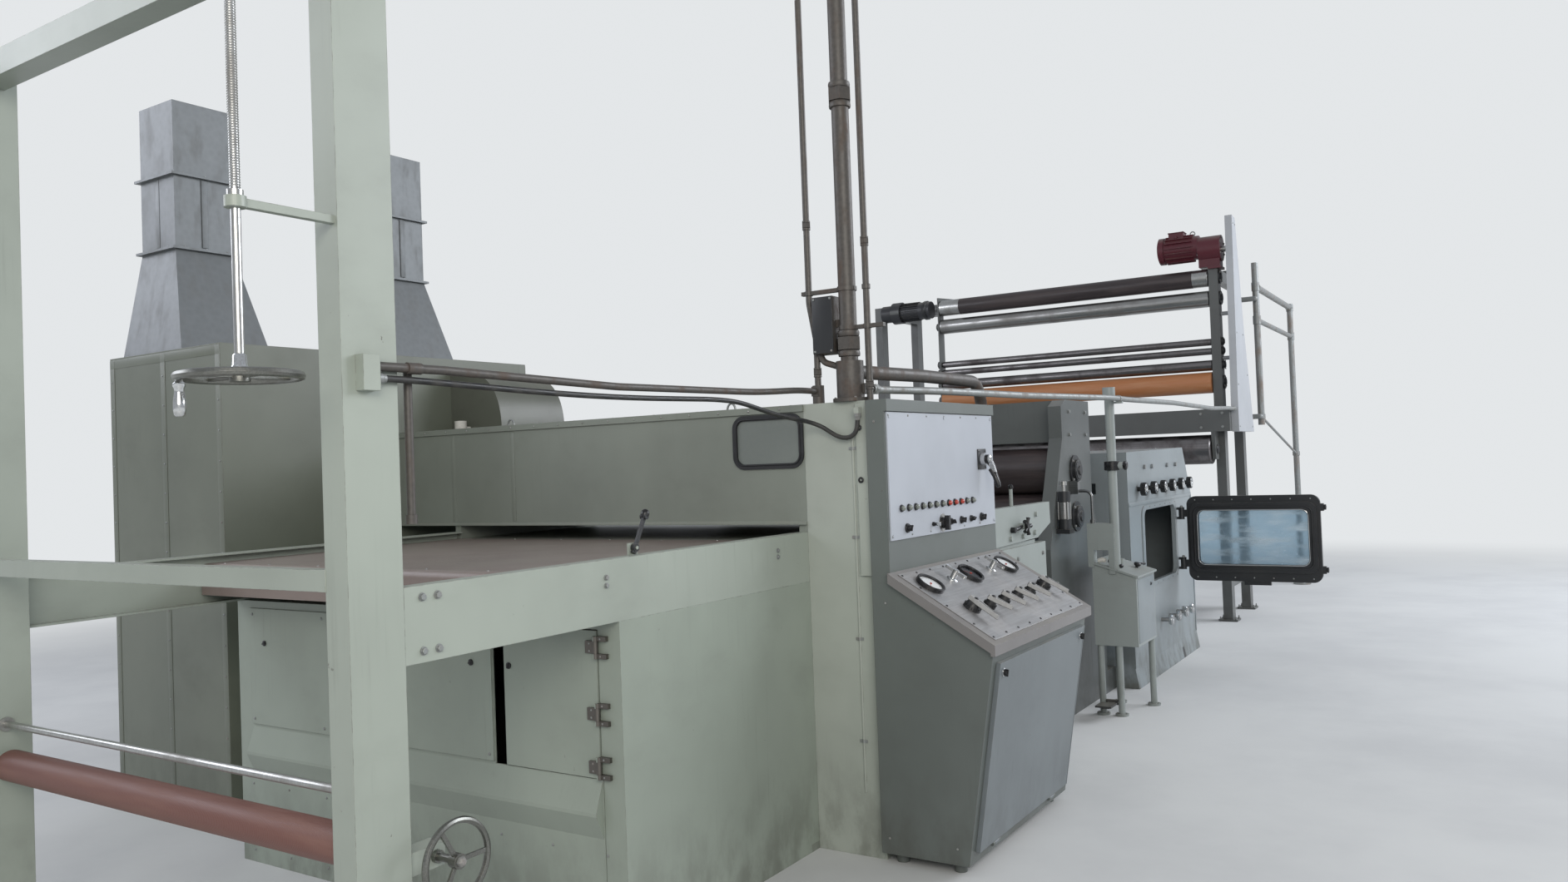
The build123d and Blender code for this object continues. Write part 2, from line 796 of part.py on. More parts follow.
# Console. Its slab slopes down to the operator.
slab_run = slab_front_x - board_x
slab_drop = slab_back_z - slab_front_z
slab_tilt = degrees(atan2(slab_drop, slab_run))
slab_length = (slab_run**2 + slab_drop**2) ** 0.5
under_back_z = slab_back_z - slab_t / cos(radians(slab_tilt))
slab_nose_x = slab_front_x - 18
under_nose_z = under_back_z - (slab_nose_x - board_x) * tan(radians(slab_tilt))
console_outline = [
    (post_x, console_foot_h),
    (desk_low_x, console_foot_h),
    (slab_nose_x, under_nose_z),
    (board_x, under_back_z),
    (board_x, board_top),
    (post_x, board_top),
]
front_rise = under_nose_z - console_foot_h
front_run = slab_nose_x - desk_low_x
front_lean = degrees(atan2(front_run, front_rise))
front_length = (front_run**2 + front_rise**2) ** 0.5
console_mid_y = (console_y[0] + console_y[1]) / 2
console_w = console_y[1] - console_y[0]
front_face = Plane(
    origin=((desk_low_x + slab_nose_x) / 2, console_mid_y, (console_foot_h + under_nose_z) / 2),
    x_dir=(0, 1, 0),
    z_dir=(cos(radians(front_lean)), 0, -sin(radians(front_lean))),
)
desk_door_w = console_w - 2 * desk_door_margin
desk_door_h = front_length - 2 * desk_door_margin
desk_door_t = 16
desk_axis_down = desk_door_h / 2 + 12
desk_hinge_ys = (-desk_door_w / 2 + 180, desk_door_w / 2 - 180)
back_sheet_x = post_x + console_wall
desk_outline = [
    (back_sheet_x, console_foot_h),
    (desk_low_x, console_foot_h),
    (slab_nose_x, under_nose_z),
    (board_x, under_back_z),
    (back_sheet_x, under_back_z),
]


def clear_cabinet():
    """Cuts away the space inside the cabinet's sheets."""
    with BuildSketch(Plane(origin=(0, console_y[1] - console_wall, 0), x_dir=(1, 0, 0), z_dir=(0, -1, 0))) as inside:
        with BuildLine():
            Polyline(console_outline, close=True)
        make_face()
        offset(amount=-console_wall, kind=Kind.INTERSECTION, mode=Mode.REPLACE)
    extrude(inside.sketch, amount=console_w - 2 * console_wall, mode=Mode.SUBTRACT)


# The cabinet is a desk, a switchboard housing on it and a rear cover over both, closed up against each other.
with BuildPart() as desk_body:
    slice_y(desk_outline, console_y)
    clear_cabinet()
    with BuildSketch(front_face.offset(1)):
        Rectangle(desk_door_w - 40, desk_door_h - 40)
    extrude(amount=-2 * console_wall, mode=Mode.SUBTRACT)
    for y in desk_hinge_ys:
        for side in (-1, 1):
            with Locations(front_face):
                with Locations((y + side * 28, -desk_axis_down, desk_door_t / 2 + side_gap)):
                    Cylinder(hinge_r - 1, 15, rotation=(0, 90, 0))
                with Locations((y + side * 28, -desk_axis_down, desk_door_t / 4)):
                    Box(15, 2 * hinge_r - 4, desk_door_t / 2)
        with Locations(front_face):
            with Locations((y, -desk_axis_down, desk_door_t / 2 + side_gap)):
                Cylinder(hinge_pin_r, 60, rotation=(0, 90, 0))
    for x in (post_x + 60, desk_low_x - 60):
        for y in (console_y[0] + 60, console_y[1] - 60):
            bar((x, y, 0), (x, y, console_foot_h), 24)
with BuildPart() as board_housing:
    block((back_sheet_x, board_x), console_y, (under_back_z, board_top))
    clear_cabinet()
    block((board_x, board_x + board_cap), console_y, (board_z[1] + 3, board_top))
with BuildPart() as rear_cover:
    block((post_x, back_sheet_x), console_y, (console_foot_h, board_top))
console_cabinet = Compound([*desk_body.part.solids(), *board_housing.part.solids(), *rear_cover.part.solids()])
write(console_cabinet, "console_cabinet")

with BuildPart() as desk_door:
    with BuildSketch(front_face.offset(side_gap)):
        Rectangle(desk_door_w, desk_door_h)
    extrude(amount=desk_door_t)
    for side in (-1, 1):
        with Locations(front_face):
            with Locations((side * (desk_door_w / 2 - 45), desk_door_h / 2 - 40, desk_door_t + 7)):
                Cylinder(11, 14)
                Box(6, 26, 22)
    for y in desk_hinge_ys:
        with Locations(front_face):
            with Locations((y, -desk_axis_down, desk_door_t / 2 + side_gap)):
                Cylinder(hinge_r - 1, 40, rotation=(0, 90, 0))
                with Locations((0, 8, 0)):
                    Box(40, 14, 8)
                Cylinder(hinge_pin_r + run_gap, 44, rotation=(0, 90, 0), mode=Mode.SUBTRACT)
write(desk_door.part, "desk_door")

# The slab's plane: its x is along the desk, its y is up the slope, its z is out of the slab.
slab_face = Plane(
    origin=(board_x, console_y[0], slab_back_z),
    x_dir=(0, 1, 0),
    z_dir=(sin(radians(slab_tilt)), 0, cos(radians(slab_tilt))),
)
top_sheet = 3
deck = slab_face.offset(top_sheet)
meter_y = (125, 515, 910)
meter_down = 122
meter_r = 57
cock_y = (345, 755)
cock_down = 118
# each lever: place along the desk, place down the slope, pointer length, turn from straight down
levers = (
    (172, 296, 116, -12),
    (312, 312, 84, 22),
    (460, 312, 84, 22),
    (608, 312, 84, 22),
    (756, 312, 84, 22),
    (958, 300, 108, 10),
)
stub_h = 20
slab_outline = [
    (board_x, slab_back_z),
    (slab_front_x, slab_front_z),
    (slab_front_x, slab_lip_z),
    (slab_nose_x, slab_lip_z),
    (slab_nose_x, under_nose_z),
    (board_x, under_back_z),
]
with BuildPart() as desk_top_plate:
    slice_y(slab_outline, (console_y[0] - slab_over, console_y[1] + slab_over))
    with BuildSketch(slab_face):
        with Locations((console_w / 2, -slab_length / 2)):
            RectangleRounded(console_w - 50, slab_length - 44, 6)
    extrude(amount=top_sheet)
    with Locations(deck):
        for y, down, length, turn in levers:
            with Locations((y, -down, stub_h / 2)):
                Cylinder(stub_r, stub_h)
        for y in cock_y:
            with Locations((y, -cock_down, stub_h / 2)):
                Cylinder(stub_r, stub_h)
write(desk_top_plate.part, "desk_top_plate")

with BuildPart() as meter_cases:
    with Locations(deck):
        for y in meter_y:
            with Locations((y, -meter_down, 7)):
                Cylinder(meter_r, 14)
                with Locations((0, 0, 5)):
                    Cylinder(meter_r - 7, 10, mode=Mode.SUBTRACT)
write(meter_cases.part, "meter_cases")

for name, y in (("left", cock_y[0]), ("right", cock_y[1])):
    with BuildPart() as regulator_cock:
        with Locations(deck):
            with Locations((y, -cock_down, side_gap)):
                with Locations((0, 0, 21)):
                    Cylinder(13, 42)
                with Locations((0, 0, 34)):
                    Box(16, 84, 12)
                with Locations((0, 42, 34), (0, -42, 34)):
                    Cylinder(8, 12)
                with Locations((0, 0, stub_h / 2)):
                    Cylinder(stub_r + run_gap, stub_h + 1, mode=Mode.SUBTRACT)
    write(regulator_cock.part, f"regulator_cock_{name}")

for number, (y, down, length, turn) in enumerate(levers, 1):
    skirt_r = 27 + (length - 84) * 0.3
    lever_plane = Plane(deck.location * Location((y, -down, side_gap), (0, 0, turn - 90)))
    with BuildPart() as desk_lever:
        with Locations(lever_plane):
            with Locations((0, 0, 14)):
                Cone(skirt_r, skirt_r * 0.72, 28)
            with Locations((0, 0, stub_h / 2)):
                Cylinder(stub_r + run_gap, stub_h + 1, mode=Mode.SUBTRACT)
        with BuildSketch(lever_plane.offset(27)):
            with BuildLine():
                Polyline(
                    (-skirt_r * 0.8, -12),
                    (skirt_r * 0.5, -15),
                    (length, -4.5),
                    (length, 4.5),
                    (skirt_r * 0.5, 15),
                    (-skirt_r * 0.8, 12),
                    close=True,
                )
            make_face()
        extrude(amount=17, taper=9)
    write(desk_lever.part, f"desk_lever_{number}")

# Switchboard front, its lamps, switches and handles
board_front = board_x + board_sheet
knob_y = 449
selector_r = 24
main_y = 890
main_z = 1537
with BuildPart() as instrument_panel:
    block((board_x, board_front), (console_y[0] + 12, console_y[1] - 12), board_z)
    bar((board_front, knob_y, switch_z), (board_front + 14, knob_y, switch_z), stub_r)
    bar((board_front, main_y, main_z), (board_front + 22, main_y, main_z), 27)
    bar((board_front + 22, main_y, main_z), (board_front + 42, main_y, main_z), stub_r + 2)
    for y in (console_y[0] + 30, (console_y[0] + console_y[1]) / 2, console_y[1] - 30):
        for z in (board_z[0] + 18, board_z[1] - 18):
            bar((board_front, y, z), (board_front + 3, y, z), 6)
write(instrument_panel.part, "instrument_panel")

lamp_count = 12
lamp_first = 67
lamp_last = 767
with BuildPart() as indicator_lamps:
    for i in range(lamp_count):
        y = lamp_first + (lamp_last - lamp_first) * i / (lamp_count - 1)
        bar((board_front, y, lamp_z), (board_front + 5, y, lamp_z), 14)
        bar((board_front + 5, y, lamp_z), (board_front + 13, y, lamp_z), 10)
write(indicator_lamps.part, "indicator_lamps")

with BuildPart() as panel_switches:
    for y, radius in ((111, 17), (351, 9), (530, 13), (639, 15), (745, 13), (862, 17)):
        bar((board_front, y, switch_z), (board_front + 8, y, switch_z), radius)
        bar((board_front + 8, y, switch_z), (board_front + 20, y, switch_z), radius * 0.7)
write(panel_switches.part, "panel_switches")

with BuildPart() as selector_knob:
    start = board_front + side_gap
    bar((start, knob_y, switch_z), (start + 14, knob_y, switch_z), selector_r)
    block((start + 12, start + 32), (knob_y - 9, knob_y + 9), (switch_z - 30, switch_z + 30))
    bar((start - 1, knob_y, switch_z), (board_front + 15, knob_y, switch_z), stub_r + run_gap, Mode.SUBTRACT)
write(selector_knob.part, "selector_knob")

main_hub = board_front + 22 + side_gap
with BuildPart() as main_switch_lever:
    bar((main_hub, main_y, main_z), (main_hub + 22, main_y, main_z), 20)
    arm_plane = Plane(origin=(0, main_y, main_z), x_dir=(1, 0, 0), z_dir=(0, -1, 0))
    arm = [
        (main_hub + 2, 8),
        (main_hub + 22, 12),
        (main_hub + 40, -30),
        (main_hub + 64, -120),
        (main_hub + 46, -126),
        (main_hub + 22, -40),
        (main_hub + 2, -14),
    ]
    with BuildSketch(arm_plane.offset(-9)):
        with BuildLine():
            Polyline(arm, close=True)
        make_face()
    extrude(amount=18)
    bar(
        (main_hub - 1, main_y, main_z),
        (board_front + 43, main_y, main_z),
        stub_r + 2 + run_gap,
        mode=Mode.SUBTRACT,
    )
write(main_switch_lever.part, "main_switch_lever")

# Squeezer plates and padder frame, one weldment
mangle_axis_low = nip_z - mangle_r - side_gap / 2
mangle_axis_high = nip_z + mangle_r + side_gap / 2
with BuildPart() as padder_frame:
    for side in (-1, 1):
        low_plate = [
            (squeeze_y[0], 0),
            (squeeze_y[1], 0),
            (squeeze_y[1], squeeze_low),
            (squeeze_y[0], squeeze_low),
        ]
        slice_x(low_plate, mirrored((squeeze_x - plate_t, squeeze_x), side))
        neck = ((squeeze_y[0] + 100, squeeze_y[1] - 120), (squeeze_low, squeeze_low + 20))
        block(mirrored((squeeze_x - plate_t, squeeze_x - 14), side), *neck)
        high_plate = [
            (squeeze_y[0] + 60, squeeze_low + 16),
            (squeeze_y[1] - 112, squeeze_low + 27),
            (squeeze_y[1] + 90, squeeze_low + 92),
            (squeeze_y[1] + 84, squeeze_top),
            (squeeze_y[0] + 60, squeeze_top),
        ]
        slice_x(high_plate, mirrored((squeeze_x - plate_t + 8, squeeze_x), side))
        for y in (squeeze_y[0], squeeze_y[1] - 80):
            block(mirrored((mangle_x - mangle_t, squeeze_x - plate_t), side), (y, y + 80), (0, sill_h))
        block(mirrored((mangle_x - mangle_t, mangle_x), side), (squeeze_y[0], wash_y[0]), (0, sill_h))
        cheek = [
            (mangle_y - 480, sill_h),
            (mangle_y + 500, sill_h),
            (mangle_y + 500, 900),
            (mangle_y + 330, 1240),
            (mangle_y + 330, mangle_top),
            (mangle_y - 115, mangle_top),
            (mangle_y - 200, mangle_top - 40),
            (mangle_y - 200, mangle_top - 230),
            (mangle_y - 480, 1000),
        ]
        slice_x(cheek, mirrored((mangle_x - mangle_t, mangle_x), side))
        for z in (mangle_axis_low, mangle_axis_high):
            face = side * mangle_x
            bar((face, mangle_y, z), (face + side * 12, mangle_y, z), mangle_flange_r)
            bar((face, mangle_y, z), (face + side * mangle_hub, mangle_y, z), mangle_flange_r - 26)
            hole = ((face - side * (mangle_t + 5), mangle_y, z), (face + side * (mangle_hub + 5), mangle_y, z))
            bar(*hole, mangle_journal_r + run_gap, mode=Mode.SUBTRACT)
    reach = squeeze_x - plate_t + 8
    for y in (squeeze_y[0] + 160, squeeze_y[1] - 160):
        bar((-reach, y, squeeze_top - 90), (reach, y, squeeze_top - 90), 38)
    inner = mangle_x - mangle_t
    block((-inner, inner), (mangle_y - 90, mangle_y + 110), (mangle_top - 250, mangle_top))
    block((-inner, inner), (mangle_y - 60, mangle_y + 60), (sill_h, sill_h + 160))
    bar((squeeze_x - 20, 1470, squeeze_top), (squeeze_x - 20, 1470, squeeze_top + 95), 9)
    bar((squeeze_x, 1525, 1190), (squeeze_x + 34, 1525, 1190), 16)
    for y, z in ((1754, 1238), (1729, 1145), (1560, 1138), (1388, 1136)):
        bar((squeeze_x, y, z), (squeeze_x + 12, y, z), 13)
write(padder_frame.part, "padder_frame")

mangle_face = mangle_x - mangle_t - 12
for label, z in (("padder_lower_roller", mangle_axis_low), ("padder_upper_roller", mangle_axis_high)):
    make_roller(
        label,
        mangle_y,
        z,
        (-mangle_face, mangle_face),
        (-mangle_x - mangle_hub + 4, mangle_x + mangle_hub - 4),
        mangle_r,
        mangle_journal_r,
    )

# Pneumatic cylinders on the cheeks, and on the operator's side a valve block with its bent air pipe
cylinder_y = mangle_y - 330
cylinder_z = (1110, 1328)
valve_y = (2700, 2745)
valve_x = (mangle_x, mangle_x + 55)
valve_z = (1303, 1375)
valve_pipe_y = (valve_y[0] + valve_y[1]) / 2
valve_pipe = [
    (valve_x[1], valve_pipe_y, valve_z[0] + 17),
    (valve_x[1] + 75, valve_pipe_y, valve_z[0] + 17),
    (valve_x[1] + 75, valve_pipe_y, hand_top),
]
with BuildPart() as padder_cylinders:
    for side in (-1, 1):
        x = side * (mangle_x + 40)
        seat = mirrored((mangle_x, mangle_x + 80), side)
        block(seat, (cylinder_y - 40, cylinder_y + 40), (cylinder_z[0] - 26, cylinder_z[0]))
        bar((x, cylinder_y, cylinder_z[0]), (x, cylinder_y, cylinder_z[1]), 31)
        bar((x, cylinder_y, cylinder_z[0]), (x, cylinder_y, cylinder_z[0] + 58), 37)
        bar((x, cylinder_y, cylinder_z[1] - 62), (x, cylinder_y, cylinder_z[1]), 36)
        bar((x, cylinder_y, cylinder_z[1]), (x, cylinder_y, cylinder_z[1] + 36), 11)
        bar((x, cylinder_y, cylinder_z[1] + 36), (x, cylinder_y, cylinder_z[1] + 58), 20)
    block(valve_x, valve_y, valve_z)
    block((valve_x[0], valve_x[1] + 8), (valve_y[0] - 8, valve_y[1]), (valve_z[1], valve_z[1] + 6))
    with BuildLine() as route:
        FilletPolyline(*valve_pipe, radius=40)
    with BuildSketch(route.line ^ 0):
        Circle(9)
    sweep(path=route.wires()[0])
    bar((valve_x[1] + 75, valve_pipe_y, hand_top), (valve_x[1] + 75, valve_pipe_y, hand_top + 22), 15)
write(padder_cylinders.part, "padder_cylinders")

# Pedestal with its pole and pedal
lid_fall = (ped_high[0] - ped_high[1]) / (ped_x[1] - ped_x[0])
leg_near_xs = (1376, pole_x)
with BuildPart() as pedestal_stand:
    body = [(ped_x[0], ped_low), (ped_x[1], ped_low), (ped_x[1], ped_high[1]), (ped_x[0], ped_high[0])]
    slice_y(body, ped_y)
    lid = [
        (ped_x[0] - 14, ped_high[0] + 14 * lid_fall),
        (ped_x[1] + 14, ped_high[1] - 14 * lid_fall),
        (ped_x[1] + 14, ped_high[1] - 14 * lid_fall + 12),
        (ped_x[0] - 14, ped_high[0] + 14 * lid_fall + 12),
    ]
    slice_y(lid, (ped_y[0] - 10, ped_y[1] + 10))
    for x in leg_near_xs:
        bar((x, ped_y[0] + 25, 0), (x, ped_y[0] + 25, ped_low), ped_leg_r)
        bar((x, ped_y[0] + 25, 0), (x, ped_y[0] + 25, 12), 2 * ped_leg_r)
    for x in (leg_near_xs[0], ped_x[1] - 25):
        bar((x, ped_y[1] - 25, 0), (x, ped_y[1] - 25, ped_low), ped_leg_r)
        bar((x, ped_y[1] - 25, 0), (x, ped_y[1] - 25, 12), 2 * ped_leg_r)
    bar(
        (leg_near_xs[0], ped_y[0] + 25, pedal_pin_z),
        (leg_near_xs[1], ped_y[0] + 25, pedal_pin_z),
        pedal_pin_r,
    )
    bar((pole_x, pole_y, ped_high[1]), (pole_x, pole_y, pole_top - 60), pole_r)
    bar((pole_x, pole_y, pole_top - 60), (pole_x, pole_y, pole_top), pole_r + 9)
    saddle_top = saddle_z - supply_r - side_gap
    block((pole_x, saddle_x + 22), (pole_y - 14, pole_y + 14), (saddle_top - 12, saddle_top))
    bar((pole_x, pole_y, 1440), (pole_x, pole_y, 1490), pole_r + 12)
    bar((pole_x + pole_r, pole_y, 1465), (pole_x + pole_r + 45, pole_y, 1465), 20)
    hand = (ped_x[0] - 20, pole_x + 4)
    hand_y = (ped_y[0] - 8, ped_y[0] + 52)
    block(hand, hand_y, (hand_window_top, hand_top))
    block((hand[0], hand[0] + hand_side), hand_y, (ped_high[0] - 20, hand_window_top))
    block((hand[1] - hand_side, hand[1]), hand_y, (ped_high[0] - 60, hand_window_top))
    bar((ped_x[0] + 120, ped_y[0] + 190, 840), (ped_x[0] + 120, ped_y[0] + 190, 905), 17)
write(pedestal_stand.part, "pedestal_stand")

with BuildPart() as foot_pedal:
    barrel = (leg_near_xs[0] + ped_leg_r + 1, leg_near_xs[1] - ped_leg_r - 1)
    axis_y = ped_y[0] + 25
    bar((barrel[0], axis_y, pedal_pin_z), (barrel[1], axis_y, pedal_pin_z), pedal_pin_r + 8)
    block((barrel[0] + 12, barrel[1] - 12), (axis_y - 150, axis_y - 10), (pedal_pin_z - 10, pedal_pin_z + 4))
    block((barrel[0] - 12, barrel[1] + 12), (axis_y - 190, axis_y - 70), (pedal_pin_z + 2, pedal_pin_z + 12))
    hole = ((barrel[0] - 20, axis_y, pedal_pin_z), (barrel[1] + 20, axis_y, pedal_pin_z))
    bar(*hole, pedal_pin_r + run_gap, mode=Mode.SUBTRACT)
write(foot_pedal.part, "foot_pedal")

# Washing compartment
hatch_mid = ((hatch_y[0] + hatch_y[1]) / 2, (hatch_z[0] + hatch_z[1]) / 2)
hatch_size = (hatch_y[1] - hatch_y[0], hatch_z[1] - hatch_z[0])
wash_outline = [
    (wash_y[0], 0),
    (wash_y[1], 0),
    (wash_y[1], 1218),
    (wash_y[1] - 208, wash_top),
    (wash_y[0], wash_top - 20),
]
side_plane = Plane(origin=(wash_x, 0, 0), x_dir=(0, 1, 0), z_dir=(1, 0, 0))
door_bracket_y = (door_axis[1] - 16, door_axis[1] + 16)
knuckle_half = 26
with BuildPart() as washer_tank:
    slice_x(wash_outline, (-wash_x, wash_x))
    with BuildSketch(Plane(origin=(wash_wall - wash_x, 0, 0), x_dir=(0, 1, 0), z_dir=(1, 0, 0))):
        with BuildLine():
            Polyline(wash_outline, close=True)
        make_face()
        offset(amount=-wash_wall, kind=Kind.INTERSECTION, mode=Mode.REPLACE)
    extrude(amount=2 * (wash_x - wash_wall), mode=Mode.SUBTRACT)
    with BuildSketch(side_plane):
        with Locations(hatch_mid):
            RectangleRounded(hatch_size[0] + 110, hatch_size[1] + 60, hatch_r + 20)
    extrude(amount=hatch_rim)
    with BuildSketch(side_plane.offset(hatch_rim)):
        with Locations(hatch_mid):
            RectangleRounded(*hatch_size, hatch_r)
    extrude(amount=-hatch_rim - wash_wall, mode=Mode.SUBTRACT)
    for y, z in ((wash_y[0], wash_slot_in), (wash_y[1] - wash_wall, wash_slot_out)):
        block((-1150, 1150), (y - 1, y + wash_wall + 1), z, mode=Mode.SUBTRACT)
    for side in (-1, 1):
        skirt = [(side * wash_x, 0), (side * (wash_x + 22), 0), (side * wash_x, 130)]
        slice_y(skirt, wash_y)
    for z in door_hinge_zs:
        bar((*door_axis, z - knuckle_half - 18), (*door_axis, z + knuckle_half + 18), door_pin_r)
        for low in (z - knuckle_half - 18, z + knuckle_half + side_gap):
            high = low + 18 - side_gap
            bar((*door_axis, low), (*door_axis, high), door_knuckle_r)
            block((wash_x, door_axis[0]), door_bracket_y, (low, high))
write(washer_tank.part, "washer_tank")

knob_first = wash_y[0] + 240
knob_last = wash_y[1] - 201
knob_z = 1290
screw_z = 1436
valve_low_z = 355
with BuildPart() as washer_valve_knobs:
    for i in range(6):
        y = knob_first + (knob_last - knob_first) * i / 5
        bar((wash_x, y, knob_z), (wash_x + 26, y, knob_z), 16)
        bar((wash_x + 26, y, knob_z), (wash_x + 58, y, knob_z), 44)
        with Locations(Plane(origin=(wash_x + 46, y, knob_z), x_dir=(0, 1, 0), z_dir=(1, 0, 0))):
            with PolarLocations(47, 10):
                Cylinder(7, 24, mode=Mode.SUBTRACT)
    for step in (411, 608, 1027, 1275):
        y = wash_y[0] + step
        bar((wash_x, y, screw_z), (wash_x + 14, y, screw_z), 15)
    for step in (715, 928, 1149, 1334):
        y = wash_y[0] + step
        bar((wash_x, y, valve_low_z), (wash_x + 55, y, valve_low_z), 15)
        bar((wash_x + 55, y, valve_low_z), (wash_x + 80, y, valve_low_z), 34)
write(washer_valve_knobs.part, "washer_valve_knobs")

# Inspection door, standing open at a right angle to the side plate.
# Shut, its gasket would lie side_gap off the hatch's rim.
door_x0 = door_axis[0] + 40
seal_y = door_axis[1] - (door_axis[0] - wash_x - hatch_rim - side_gap)
leaf_front = seal_y + gasket_h
leaf_back = leaf_front + door_t
door_mid = (door_x0 + door_w / 2, (door_low + door_high) / 2)
pane_mid = (door_x0 + door_w / 2, pane_z)
door_plane = Plane(origin=(0, leaf_front, 0), x_dir=(1, 0, 0), z_dir=(0, -1, 0))
with BuildPart() as inspection_door:
    with BuildSketch(door_plane):
        with Locations(door_mid):
            RectangleRounded(door_w, door_high - door_low, door_corner_r)
    extrude(amount=-door_t)
    with BuildSketch(door_plane):
        with Locations(pane_mid):
            RectangleRounded(pane_w + 116, pane_h + 116, door_corner_r)
    extrude(amount=gasket_h)
    with BuildSketch(door_plane.offset(gasket_h)):
        with Locations(pane_mid):
            RectangleRounded(pane_w, pane_h, 44)
    extrude(amount=-gasket_h - door_t, mode=Mode.SUBTRACT)
    with BuildSketch(door_plane.offset(-door_t)):
        with Locations(pane_mid):
            RectangleRounded(pane_w + 2 * pane_lap, pane_h + 2 * pane_lap, 44 + pane_lap)
    extrude(amount=pane_t + 6, mode=Mode.SUBTRACT)
    for z in (door_low + 90, door_high - 90):
        block((door_x0 + door_w, door_x0 + door_w + 22), (leaf_front + 4, leaf_back), (z - 26, z + 26))
    block((door_x0 + 380, door_x0 + 560), (leaf_front + 6, leaf_back - 6), (door_low - 26, door_low))
    for z in door_hinge_zs:
        knuckle = (z - knuckle_half, z + knuckle_half)
        bar((*door_axis, knuckle[0]), (*door_axis, knuckle[1]), door_knuckle_r)
        block((door_axis[0], door_x0 + 30), (leaf_front + 4, leaf_back - 4), knuckle)
        bar((*door_axis, z - 40), (*door_axis, z + 40), door_pin_r + run_gap, mode=Mode.SUBTRACT)
write(inspection_door.part, "inspection_door")

with BuildPart() as inspection_pane:
    with BuildSketch(door_plane.offset(-door_t + 6)):
        with Locations(pane_mid):
            RectangleRounded(pane_w + 2 * pane_lap - 1, pane_h + 2 * pane_lap - 1, 43.5 + pane_lap)
    extrude(amount=pane_t)
write(inspection_pane.part, "inspection_pane")

# Roller tower
leg_x = (tower_x - leg_w, tower_x)
left_x = (left_leg_x, left_leg_x + leg_w)
front_leg_y = (tower_y, tower_y + leg_d)
rear_leg_y = (rear_y, rear_y + leg_d)
drive_r = 88
hanger = (hanger_x - hanger_t, hanger_x)
with BuildPart() as tower_frame:
    for x in (leg_x, left_x):
        block(x, front_leg_y, (0, leg_top))
        block(x, rear_leg_y, (0, rear_top))
        block(x, (front_leg_y[1], rear_leg_y[0]), (leg_top - 100, leg_top))
        block(x, (front_leg_y[1], rear_leg_y[0]), (300, 400))
        for y in (front_leg_y, rear_leg_y):
            block((x[0] - 40, x[1] + 40), (y[0] - 20, y[1] + 20), (0, 16))
    block((left_x[1], leg_x[0]), rear_leg_y, (rear_top - 120, rear_top))
    block((left_x[1], leg_x[0]), rear_leg_y, (300, 400))
    block((left_x[0], guard_x[0]), cross_y, cross_z)
    for side in (-1, 1):
        x = mirrored((nip_plate_x, nip_plate_x + nip_plate_t), side)
        bracket = [
            (cross_y[0], cross_z[0]),
            (cross_y[1], cross_z[0]),
            (cross_y[1] - 30, nip_roller_z - 90),
            (cross_y[0] + 30, nip_roller_z - 90),
        ]
        slice_x(bracket, x)
        hole = ((x[0] - 5, nip_y, nip_roller_z), (x[1] + 5, nip_y, nip_roller_z))
        bar(*hole, tower_journal_r + run_gap, mode=Mode.SUBTRACT)
    plate = [
        (front_leg_y[0], hanger_low),
        (front_leg_y[1], hanger_low),
        (front_leg_y[1], rear_top - 180),
        (rear_leg_y[0], rear_top - 100),
        (rear_leg_y[0], rear_top),
        (front_leg_y[0], rear_top - 60),
    ]
    slice_x(plate, hanger)
    bar((left_x[1], roller_y, 3080), (hanger[0] - bearing_t - 60, roller_y, 3080), drive_r)
    bar((left_x[1] + 120, roller_y, 3080), (left_x[1] + 220, roller_y, 3080), drive_r + 24)
    for z, radius in tower_rollers.values():
        boss = (hanger[0] - bearing_t, hanger[0])
        bar((boss[0], roller_y, z), (boss[1], roller_y, z), tower_journal_r + 16)
        bar(
            (boss[0] - 5, roller_y, z),
            (hanger[1] + 5, roller_y, z),
            tower_journal_r + run_gap,
            mode=Mode.SUBTRACT,
        )
        ring_r = tower_ring_r if radius > 60 else tower_ring_r * 0.6
        bar((leg_x[1], roller_y, z), (leg_x[1] + tower_ring_h, roller_y, z), ring_r)
        bar(
            (leg_x[0] - 5, roller_y, z),
            (leg_x[1] + tower_ring_h + 5, roller_y, z),
            tower_journal_r + run_gap,
            mode=Mode.SUBTRACT,
        )
write(tower_frame.part, "tower_frame")

for label, (z, radius) in tower_rollers.items():
    make_roller(
        label,
        roller_y,
        z,
        (hanger[1] + 8, leg_x[0] - 8),
        (hanger[0] - bearing_t - 10, leg_x[1] + 18),
        radius,
        tower_journal_r,
    )
make_roller(
    "bottom_nip_roller",
    nip_y,
    nip_roller_z,
    (-nip_plate_x + 8, nip_plate_x - 8),
    (-nip_plate_x - nip_plate_t - 10, nip_plate_x + nip_plate_t + 10),
    nip_roller_r,
    tower_journal_r,
)

with BuildPart() as drive_guard:
    outline = [
        (guard_front, 1684),
        (7270, 1684),
        (6990, 2600),
        (6790, 3600),
        (6650, 3610),
        (6600, 2600),
        (guard_front, 1960),
    ]
    slice_x(outline, guard_x)
    for z in (2350, 2750):
        bar((tower_x, tower_y + leg_d / 2 + 30, z), (guard_x[0], tower_y + leg_d / 2 + 30, z), 18)
write(drive_guard.part, "drive_guard")

